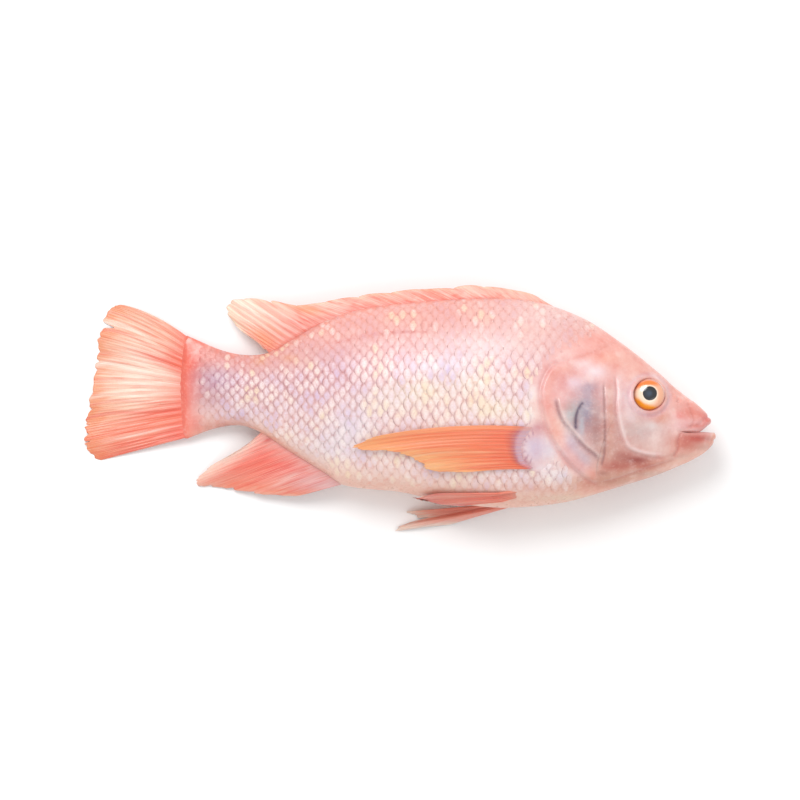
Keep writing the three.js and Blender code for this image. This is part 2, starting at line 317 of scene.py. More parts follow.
class Look:
    # a material whose nodes are all added by one method
    def __init__(self, name, **sockets):
        self.material = bpy.data.materials.new(name)
        self.material.use_nodes = True
        self.tree = self.material.node_tree
        self.surface = self.tree.nodes["Principled BSDF"]
        for socketName, value in sockets.items():
            self.put(self.surface.inputs[socketName.replace("_", " ")], value)

    def put(self, socket, value):
        # a link where the value is a signal, or else a colour or a number
        if isinstance(value, Signal):
            self.tree.links.new(value.socket, socket)
        elif socket.type == "RGBA":
            socket.default_value = (*value, 1)
        else:
            socket.default_value = value

    def node(self, kind, settings=None, inputs=None, out=0):
        # any node: its type, the settings that come first, and its sockets' values or links
        made = self.tree.nodes.new(kind)
        for key, value in (settings or {}).items():
            if key == "stops":
                fillRamp(made.color_ramp, value)
            else:
                setattr(made, key, value)
        for key, value in (inputs or {}).items():
            self.put(made.inputs[key], value)
        return Signal(self, made.outputs[out])

    def attribute(self, name, out):
        # what each point of the mesh has under this name
        return self.node("ShaderNodeAttribute", {"attribute_name": name}, out=out)

    def layParts(self):
        # across and up on the piece's own map, each from -1 to 1
        lay = {"Vector": self.node("ShaderNodeUVMap", {"uv_map": "lay"})}
        return [self.node("ShaderNodeSeparateXYZ", None, lay, out=axis) * 2 - 1 for axis in "XY"]

    def stretched(self, scale):
        # the piece's own map with each side stretched by its scale
        lay = self.node("ShaderNodeUVMap", {"uv_map": "lay"})
        return self.node("ShaderNodeMapping", None, {"Vector": lay, "Scale": scale})

    def mix(self, weight, first, second, way="MIX"):
        # a colour between two, or the first multiplied by the second, by a weight
        settings = {"data_type": "RGBA", "blend_type": way}
        return self.node("ShaderNodeMix", settings, {0: weight, 6: first, 7: second}, out=2)

    def noise(self, where, scale, detail=3, rough=0.5):
        # soft clouds from 0 to 1, scale of them to a unit of the place
        inputs = {"Vector": where, "Scale": scale, "Detail": detail, "Roughness": rough}
        return self.node("ShaderNodeTexNoise", None, inputs)

    def bump(self, height, distance, strength=1.0):
        # a normal tilted by the height's slope, for a relief that is distance metres deep
        inputs = {"Height": height, "Distance": distance, "Strength": strength}
        return self.node("ShaderNodeBump", None, inputs)

    def finish(self, **links):
        # joins the surface's own sockets and hands over the material
        for socketName, value in links.items():
            self.put(self.surface.inputs[socketName.replace("_", " ")], value)
        return self.material


def fillRamp(colourRamp, stops):
    # leaves one stop, and then adds the others
    while len(colourRamp.elements) > 1:
        colourRamp.elements.remove(colourRamp.elements[0])
    colourRamp.elements[0].position = stops[0][0]
    colourRamp.elements[0].color = (*stops[0][1], 1)
    for place, colour in stops[1:]:
        colourRamp.elements.new(place).color = (*colour, 1)


wetSkin = {
    "roughness": 0.36,
    "coat": 0.35,
    "coatRoughness": 0.16,
    "flesh": 0.12,  # share of light that goes under the skin
    "fleshDepth": (0.004, 0.0018, 0.0012),
    "mottle": 120,  # sizes of the noises, per metre
    "grain": 700,
    "pores": 2600,
    "relief": 0.0002,
    "rosy": "E88C80", "pale": "FFF0EA", "blush": "F6D2CC", "speck": "B0686A",
}


def wetLook(name, wet):
    # flesh that glows a little under a clear coat, with its Object coordinates and its painted colour
    look = Look(
        name, Coat_Weight=wet["coat"], Coat_Roughness=wet["coatRoughness"],
        Subsurface_Weight=wet["flesh"], Subsurface_Radius=wet["fleshDepth"], Subsurface_Scale=1.0,
    )
    return look, look.node("ShaderNodeTexCoord", out="Object"), look.attribute("paint", "Color")


def skinLook():
    # painted skin, mottled at two sizes, with pores and fine wrinkles in the bump
    look, where, paint = wetLook("wetSkin", wetSkin)
    cloud = look.noise(where, wetSkin["mottle"], 4, 0.6)
    grain = look.noise(where, wetSkin["grain"], 3, 0.6)
    fine = look.noise(where, wetSkin["pores"], 2, 0.5)
    rosy = look.mix(cloud.ramp(0.46, 0.72) * 0.3, paint, rgb(wetSkin["rosy"]), "MULTIPLY")
    pale = look.mix(cloud.ramp(0.5, 0.28) * 0.22, rosy, rgb(wetSkin["pale"]))
    blush = look.mix(grain.ramp(0.5, 0.75) * 0.16, pale, rgb(wetSkin["blush"]))
    speck = look.mix(fine.ramp(0.62, 0.8) * 0.22, blush, rgb(wetSkin["speck"]))
    height = grain * 0.5 + fine * 0.04 + cloud * 0.5
    rough = wetSkin["roughness"] + (cloud - 0.5) * 0.25 + (grain - 0.5) * 0.1
    return look.finish(Base_Color=speck, Roughness=rough, Normal=look.bump(height, wetSkin["relief"], 0.5))


pearl = {
    "coat": 0.35,
    "coatRoughness": 0.14,
    "flesh": 0.08,
    "fleshDepth": wetSkin["fleshDepth"],
    "centre": 0.45,  # of the oval, in half lengths behind the scale's own centre
    "halfLength": 0.37,
    "halfWidth": 0.7,
    "strength": 0.8,
    "net": 0.36,  # strength of the mauve net
    "netColour": "C596A4",
    "mottleColour": "EDB0A4",
    "cluster": 55,  # sizes of the noises, per metre
    "mottle": 420,
    "grain": 1500,
    "rings": 40,  # how close the growth rings are
    "relief": 0.0003,
    "sheenHues": [[0, "D4BCDC"], [0.3, "EED8E0"], [0.55, "FAE8E2"], [0.75, "F6DEBE"], [1, "F2C8A4"]],
}


def scaleLook():
    # each scale has a pearly upright oval in its bare part, partly its own pale colour and partly painted
    # sheen, with painted glints on some scales of the back, and a mauve net round it, both of its own hue
    look, where, paint = wetLook("pearlScales", pearl)
    chance, clear = look.attribute("chance", "Fac"), look.attribute("clear", "Fac")
    back, up = look.layParts()
    cluster = look.noise(where, pearl["cluster"], 2, 0.5)
    cloud = look.noise(where, pearl["mottle"], 3, 0.6)
    grain = look.noise(where, pearl["grain"], 3, 0.6)
    alongOval = (back - pearl["centre"]) / pearl["halfLength"]
    acrossOval = up / pearl["halfWidth"]
    oval = (alongOval * alongOval + acrossOval * acrossOval) ** 0.5 + (cloud - 0.5) * 0.9
    sheenHues = [(place, rgb(text)) for place, text in pearl["sheenHues"]]
    hue = chance * 0.32 + cluster.ramp(0.32, 0.7) * 0.5
    sheen = look.node("ShaderNodeValToRGB", {"stops": sheenHues}, {"Fac": hue})
    # painted glints: some random scales where the pearl is weak, mostly on the back, get the pearly oval too
    glint = chance.ramp(0.55, 0.8) * cluster.ramp(0.4, 0.56) * (1 - clear) * clear.ramp(0.06, 0.2)
    inside = (1 - oval.ramp(0.35, 1.3)) * (clear + glint * 0.8) * (0.45 + 0.55 * grain.ramp(0.3, 0.6))
    # the pearly oval is partly painted sheen laid over the skin's paint
    shining = look.mix(inside * pearl["strength"], paint, sheen)
    netted = look.mix(oval.ramp(0.8, 1.5) * clear * pearl["net"], shining, rgb(pearl["netColour"]))
    mottled = look.mix(cloud.ramp(0.5, 0.75) * 0.3, netted, rgb(pearl["mottleColour"]), "MULTIPLY")
    rings = (oval * pearl["rings"]).sine() * 0.1
    height = rings + grain * 0.4 + cloud * 0.5
    rough = 0.3 + (cloud - 0.5) * 0.3 + oval.ramp(0.6, 1.4) * 0.12
    return look.finish(Base_Color=mottled, Roughness=rough, Normal=look.bump(height, pearl["relief"], 0.6))


finSkin = {
    "coat": 0.3,
    "coatRoughness": 0.2,
    "flesh": 0.15,
    "fleshDepth": (0.003, 0.0012, 0.0008),
    # stretch along and across the rays
    "streak": (2.2, 70, 1),
    "hair": (1.2, 260, 1),
    "joint": (70, 40, 1),
    "grain": 900,
    "relief": 0.0003,
    "streakColour": "F07A5E", "lineColour": "EE7058", "paleColour": "FFE2D0", "spotColour": "C9584A",
}


def finLook(name):
    # painted rays with finer streaks along them and cross joints, on thin wet skin
    look, where, paint = wetLook(name, finSkin)
    streak = look.noise(look.stretched(finSkin["streak"]), 1.0, 4, 0.6)
    hair = look.noise(look.stretched(finSkin["hair"]), 1.0, 3, 0.6)
    joint = look.noise(look.stretched(finSkin["joint"]), 1.0, 2, 0.5)
    grain = look.noise(where, finSkin["grain"], 3, 0.6)
    deeper = look.mix(streak.ramp(0.48, 0.72) * 0.55, paint, rgb(finSkin["streakColour"]), "MULTIPLY")
    lined = look.mix(hair.ramp(0.5, 0.7) * 0.35, deeper, rgb(finSkin["lineColour"]), "MULTIPLY")
    paler = look.mix((1 - hair).ramp(0.52, 0.72) * 0.5, lined, rgb(finSkin["paleColour"]))
    spotted = look.mix(grain.ramp(0.6, 0.8) * 0.2, paler, rgb(finSkin["spotColour"]))
    height = streak * 0.6 + hair * 0.6 + grain * 0.3 + joint * 0.3
    rough = 0.4 + (grain - 0.5) * 0.3
    return look.finish(Base_Color=spotted, Roughness=rough, Normal=look.bump(height, finSkin["relief"], 0.7))


mouth = {
    "corner": 0.062,  # stations of the mouth's corner and of both jaws' tips
    "upperTip": 0.007,
    "lowerTip": -0.002,
    "height": -0.128,  # the lip line, in depths
    "gape": 0.045,  # how far the upper lip lifts at the front, in depths
    "gapeFrom": 0.034,  # station where the gape starts
    "halfWidth": 8.6,
    "throat": 0.08,
    "join": 0.085,  # station where the lips have run out into the head
    "lipRoll": 7.5,  # how fully the lips curl
    "chin": 1.6,  # how much fuller the lower lip curls
    "lipWidth": 3.6,
    "lipRise": 0.35,
    "crease": 0.5,
    "throatBow": 2.2,  # how far the throat widens behind the lips
}
headRelief = {
    # [station, height] lines from top to bottom. The side towards the snout is raised by "rise",
    # which fades over "reach", and a groove runs along the line's other side
    "gillEdge": {
        "line": [
            [0.262, 0.215], [0.29, 0.195], [0.312, 0.166], [0.329, 0.071], [0.325, -0.048],
            [0.308, -0.166], [0.274, -0.285], [0.236, -0.357], [0.213, -0.36],
        ],
        "rise": 1.2, "soft": 1.7, "reach": 17, "groove": 0.3, "wide": 1.2,
    },
    "coverPlate": {
        "line": [
            [0.3, 0.035], [0.2975, -0.005], [0.293, -0.045], [0.2846, -0.087],
            [0.2706, -0.128], [0.2567, -0.17], [0.2428, -0.205], [0.2287, -0.231], [0.214, -0.268],
        ],
        "rise": 0.8, "soft": 0.9, "reach": 9, "groove": 0.28, "wide": 1.0,
    },
    "cheekEdge": {
        "line": [
            [0.189, 0.15], [0.186, 0.1], [0.185, 0.052], [0.187, -0.024], [0.182, -0.105],
            [0.172, -0.185], [0.158, -0.219], [0.125, -0.242], [0.081, -0.247],
        ],
        "rise": 0.7, "soft": 1.3, "reach": 8, "groove": 0.15, "wide": 1.0,
    },
    "cheekRidge": {
        "line": [[0.21, 0.11], [0.209, 0.0], [0.208, -0.119], [0.209, -0.228], [0.215, -0.3]],
        "rise": 0.4, "soft": 0.8, "reach": 4, "groove": 0.3, "wide": 0.7,
    },
    "darkSlit": {
        "line": [[0.248, 0.012], [0.257, -0.015], [0.263, -0.05], [0.265, -0.09], [0.264, -0.128]],
        "rise": 0.0, "soft": 1, "reach": 1, "groove": 0.35, "wide": 0.8,
    },
    "jawFold": {
        "line": [[0.062, -0.13], [0.069, -0.166], [0.07, -0.214], [0.078, -0.25]],
        "rise": 0.45, "soft": 0.9, "reach": 5, "groove": 0.25, "wide": 0.8,
    },
    "lipFold": {
        "line": [[0.05, 0.02], [0.043, -0.03], [0.038, -0.075], [0.046, -0.12]],
        "rise": 0.4, "soft": 1.1, "reach": 6, "groove": 0.2, "wide": 0.9,
    },
    "napeFold": {
        "line": [[0.185, 0.3], [0.21, 0.27], [0.25, 0.23], [0.29, 0.2]],
        "rise": -0.3, "soft": 1.2, "reach": 6, "groove": 0.25, "wide": 1.0,
    },
    "throatFold": {
        "line": [[0.217, -0.365], [0.179, -0.34], [0.122, -0.29], [0.07, -0.25]],
        "rise": 0.45, "soft": 1.1, "reach": 6, "groove": 0.2, "wide": 1.0,
    },
}
socket = {
    "rimRise": 0.6, "rimRadius": 8.3, "rimWide": 0.9,
    "foldDepth": 0.4, "foldRadius": 10.2, "foldWide": 0.8,
    "floorDepth": 3.6, "floorRadius": 6.7, "floorSoft": 0.9,
}
nostrils = [[0.068, 0.018, 0.7, 0.9], [0.079, 0.045, 0.5, 0.7]]  # station, height, depth, radius
breastBase = {
    "place": [0.34, -0.205],  # station and height of its middle
    "radius": [7.0, 8.6],
    "rise": 0.9,
    "waves": 0.16,  # height of the flesh's slow waves, which run over the whole trunk
    "marks": 15,  # how close the marks round it are
    "colour": "D2BCD2",
    "markColour": "A8708C",
    "rimColour": "A8506A",
}
tailRoot = {
    "reach": 5.0,  # how far the flesh runs on over the fin
    "thin": 0.93,  # share of its thickness that it loses there
    "sink": 0.4,
    "narrow": 0.14,  # share of its height that it loses
}
skinGrid = {
    "columns": 240, "throatRings": 10, "lipRings": 62, "headRings": 172, "trunkRings": 122, "rootRings": 14,
    "trunkFrom": 0.36,  # station where the rings get wider apart
}


def curveField(x, y, line):
    # signed distance to a smooth curve, positive on the snout's side, and the share of the way along it
    places = np.linspace(0, 1, len(line))
    path = follow(places, np.array(line), np.linspace(0, 1, 33))
    path = path * [-bodyLength, bodyDepth] + [snoutX, 0]
    start, step = path[:-1], np.diff(path, axis=0)
    awayX, awayY = x[:, None] - start[:, 0], y[:, None] - start[:, 1]
    share = np.clip((awayX * step[:, 0] + awayY * step[:, 1]) / (step**2).sum(1), 0, 1)
    distance = np.hypot(awayX - share * step[:, 0], awayY - share * step[:, 1])
    nearest = distance.argmin(1)
    pick = np.arange(len(x)), nearest
    side = np.sign((step[:, 0] * awayY - step[:, 1] * awayX)[pick])
    return distance[pick] * np.where(side == 0, 1, side), (nearest + share[pick]) / len(step)


def headRise(x, y):
    # the sum of every line's step and groove, and of the nostrils
    total = np.zeros_like(x)
    for fold in headRelief.values():
        distance, share = curveField(x, y, fold["line"])
        ends = smooth(share / 0.12) * smooth((1 - share) / 0.12)
        step = smooth(distance / fold["soft"] + 0.3) * np.exp(-np.maximum(distance, 0) / fold["reach"])
        groove = hump((distance + 0.6 * fold["wide"]) / fold["wide"])
        total += ends * (fold["rise"] * step - fold["groove"] * groove)
    for station, height, depth, radius in nostrils:
        away = np.hypot(x - xAt(station), y - height * bodyDepth)
        total += 0.5 * depth * hump((away - 1.6 * radius) / radius) - depth * hump(away / radius)
    return total


def breastAway(x, y):
    # distance from the middle of the breast fin's fleshy base, in its own radii, and the heading from it
    baseX, baseY = xAt(breastBase["place"][0]), breastBase["place"][1] * bodyDepth
    across, up = (x - baseX) / breastBase["radius"][0], (y - baseY) / breastBase["radius"][1]
    return np.hypot(across, up), np.arctan2(up, -across)


def gentleRise(x, y):
    # the swell of the breast fin's base, and slow waves of the flesh under the skin
    sway = np.sin(x / 11 + y / 17) * np.sin(y / 8 - x / 23)
    sway = sway + 0.5 * np.sin(x / 5.3) * np.sin(y / 6.1 + x / 31)
    return breastBase["rise"] * hump(breastAway(x, y)[0]) + breastBase["waves"] * sway


def socketRise(x, y):
    # a floor under each eyeball, a raised rim and a fold of skin outside it
    low, high = nodeBox("eye_right")
    centre = (low + high) / 2
    away = np.hypot(x - centre[0], y - centre[1])
    floor = -socket["floorDepth"] * (1 - smooth((away - socket["floorRadius"]) / socket["floorSoft"]))
    rim = socket["rimRise"] * hump((away - socket["rimRadius"]) / socket["rimWide"])
    lower = smooth(0.5 - (y - centre[1]) / 12)
    fold = -socket["foldDepth"] * lower * hump((away - socket["foldRadius"]) / socket["foldWide"])
    return floor + rim + fold


def lipRing(angle):
    # an ellipse seen from above. The upper half lifts towards the front, which leaves the gape
    front = np.abs(np.sin(angle)) ** 0.85
    upper = np.sin(angle) > 0
    tip = np.where(upper, mouth["upperTip"], mouth["lowerTip"])
    station = mouth["corner"] + (tip - mouth["corner"]) * front
    opening = smooth((mouth["gapeFrom"] - station) / (mouth["gapeFrom"] - mouth["upperTip"]) * 0.8)
    y = (mouth["height"] + np.where(upper, mouth["gape"] * opening, -0.003)) * bodyDepth
    z = section(np.array(mouth["join"] / 2))[4] + mouth["halfWidth"] * np.cos(angle)
    return np.stack([xAt(station), y, z], -1)


def headRings(angle, rings):
    # a cubic that leaves the lips sideways and meets the first plain section along the skin
    t = np.linspace(0, 1, rings, endpoint=False)[:, None, None]
    start, end = lipRing(angle), skinAt(mouth["join"], angle)
    reach = np.linalg.norm(end - start, axis=-1, keepdims=True)
    front = np.abs(np.sin(angle))
    chin = np.where(np.sin(angle) < 0, mouth["chin"], 1)
    leave = mouth["lipRoll"] * np.stack([0.5 * front, chin * np.sin(angle), 0.8 * np.cos(angle)], -1)
    step = 0.002
    slope = skinAt(mouth["join"] + step, angle) - skinAt(mouth["join"] - step, angle)
    meet = slope / np.linalg.norm(slope, axis=-1, keepdims=True) * reach
    ring = (2 * t**3 - 3 * t**2 + 1) * start + (t**3 - 2 * t**2 + t) * leave * 2
    return ring + (3 * t**2 - 2 * t**3) * end + (t**3 - t**2) * meet


def throatRings(angle, rings):
    # from the back of the mouth to the lips, bowed outwards inside them
    share = np.linspace(1, 0, rings, endpoint=False)[:, None, None]
    start = lipRing(angle)
    back = np.array([xAt(mouth["throat"]), mouth["height"] * bodyDepth, start[:, 2].mean()])
    bow = np.stack([0 * angle, np.sin(angle), 0.5 * np.cos(angle)], -1) * mouth["throatBow"]
    return start + (back - start) * (0.04 + 0.95 * share) + bow * np.sin(math.pi * share)


def skinPoints():
    # throat, lips, head, trunk and the fleshy root of the tail, as one grid of rings
    turn = np.linspace(0, 2 * math.pi, skinGrid["columns"], endpoint=False)
    angle = turn - 0.25 * np.sin(2 * turn)  # columns crowd on the flanks
    head = np.linspace(mouth["join"], skinGrid["trunkFrom"], skinGrid["headRings"], endpoint=False)
    trunk = np.linspace(skinGrid["trunkFrom"], 1, skinGrid["trunkRings"], endpoint=False)
    station = np.concatenate([head, trunk])[:, None]
    run = np.linspace(0, 1, skinGrid["rootRings"])[:, None]
    root = skinAt(np.ones_like(run), angle)
    middle = section(np.array(1.0))[4]
    root[..., 0] -= run * tailRoot["reach"]
    thinner = 1 - tailRoot["thin"] * smooth(run) ** 0.8
    root[..., 2] = middle + (root[..., 2] - middle) * thinner - tailRoot["sink"] * run * run
    centre = (root[..., 1].max() + root[..., 1].min()) / 2
    root[..., 1] = centre + (root[..., 1] - centre) * (1 - tailRoot["narrow"] * run**3)
    lips = headRings(angle, skinGrid["lipRings"])
    base = np.concatenate([throatRings(angle, skinGrid["throatRings"]), lips, skinAt(station, angle), root])
    return base, angle


def lipRelief(base):
    # a full lip and the crease behind it, by distance back from the rim
    first = skinGrid["throatRings"]
    steps = np.linalg.norm(np.diff(base[first:], axis=0), axis=-1)
    back = np.concatenate([np.zeros((1, base.shape[1])), np.cumsum(steps, 0)])
    rise = np.zeros(base.shape[:2])
    lip = mouth["lipRise"] * hump((back - 0.45 * mouth["lipWidth"]) / 1.3)
    rise[first:] = lip - mouth["crease"] * hump((back - mouth["lipWidth"]) / 0.8)
    return rise


def makeSkin():
    # the rings, each point moved out along its normal by the sum of the reliefs, closed by a fan at each end
    base, angle = skinPoints()
    normal = -gridNormals(base, wrap=True)
    x, y = base[..., 0], base[..., 1]
    outside = (np.arange(len(base)) >= skinGrid["throatRings"])[:, None]
    relief = (headRise(x.ravel(), y.ravel()) + socketRise(x.ravel(), y.ravel())).reshape(x.shape)
    rise = (relief + gentleRise(x, y)) * outside + lipRelief(base) * np.abs(np.sin(angle)) ** 0.5
    points = base + normal * rise[..., None]
    points[..., 2] = settle(points[..., 2])
    rings, columns = x.shape
    quads, row, column = gridFaces(rings, columns, wrap=True, flip=True)
    pole, ends = rings * columns, np.arange(columns)
    front, back = capFan(pole, ends), capFan(pole + 1, pole - columns + ends, flip=True)
    down = np.concatenate([[0], np.cumsum(np.linalg.norm(np.diff(points, axis=0), axis=-1).mean(1))])
    down = 0.01 + 0.98 * down / down[-1]
    bake = np.stack([column / columns, down[row]], -1).reshape(-1, 2)
    one, two = ends / columns, (ends + 1) / columns
    middle = (one + two) / 2
    frontMap = np.stack([np.stack([middle, one, two], 1), np.tile([0, down[0], down[0]], (columns, 1))], -1)
    backMap = np.stack([np.stack([middle, two, one], 1), np.tile([1, down[-1], down[-1]], (columns, 1))], -1)
    places = np.concatenate([bake, frontMap.reshape(-1, 2), backMap.reshape(-1, 2)])
    allPoints = np.concatenate([points.reshape(-1, 3), [points[0].mean(0), points[-1].mean(0)]])
    inside = np.zeros(len(allPoints))
    inside[: skinGrid["throatRings"] * columns] = 1
    inside[pole] = 1
    paint = blendIn(skinPaint(allPoints[:, 0], allPoints[:, 1]), bodyPaint["throat"], inside * 0.9)
    faces = quads.tolist() + front.tolist() + back.tolist()
    return addPiece("skin", allPoints, faces, skinLook(), ["body"], {"OFBake": places}, paint)


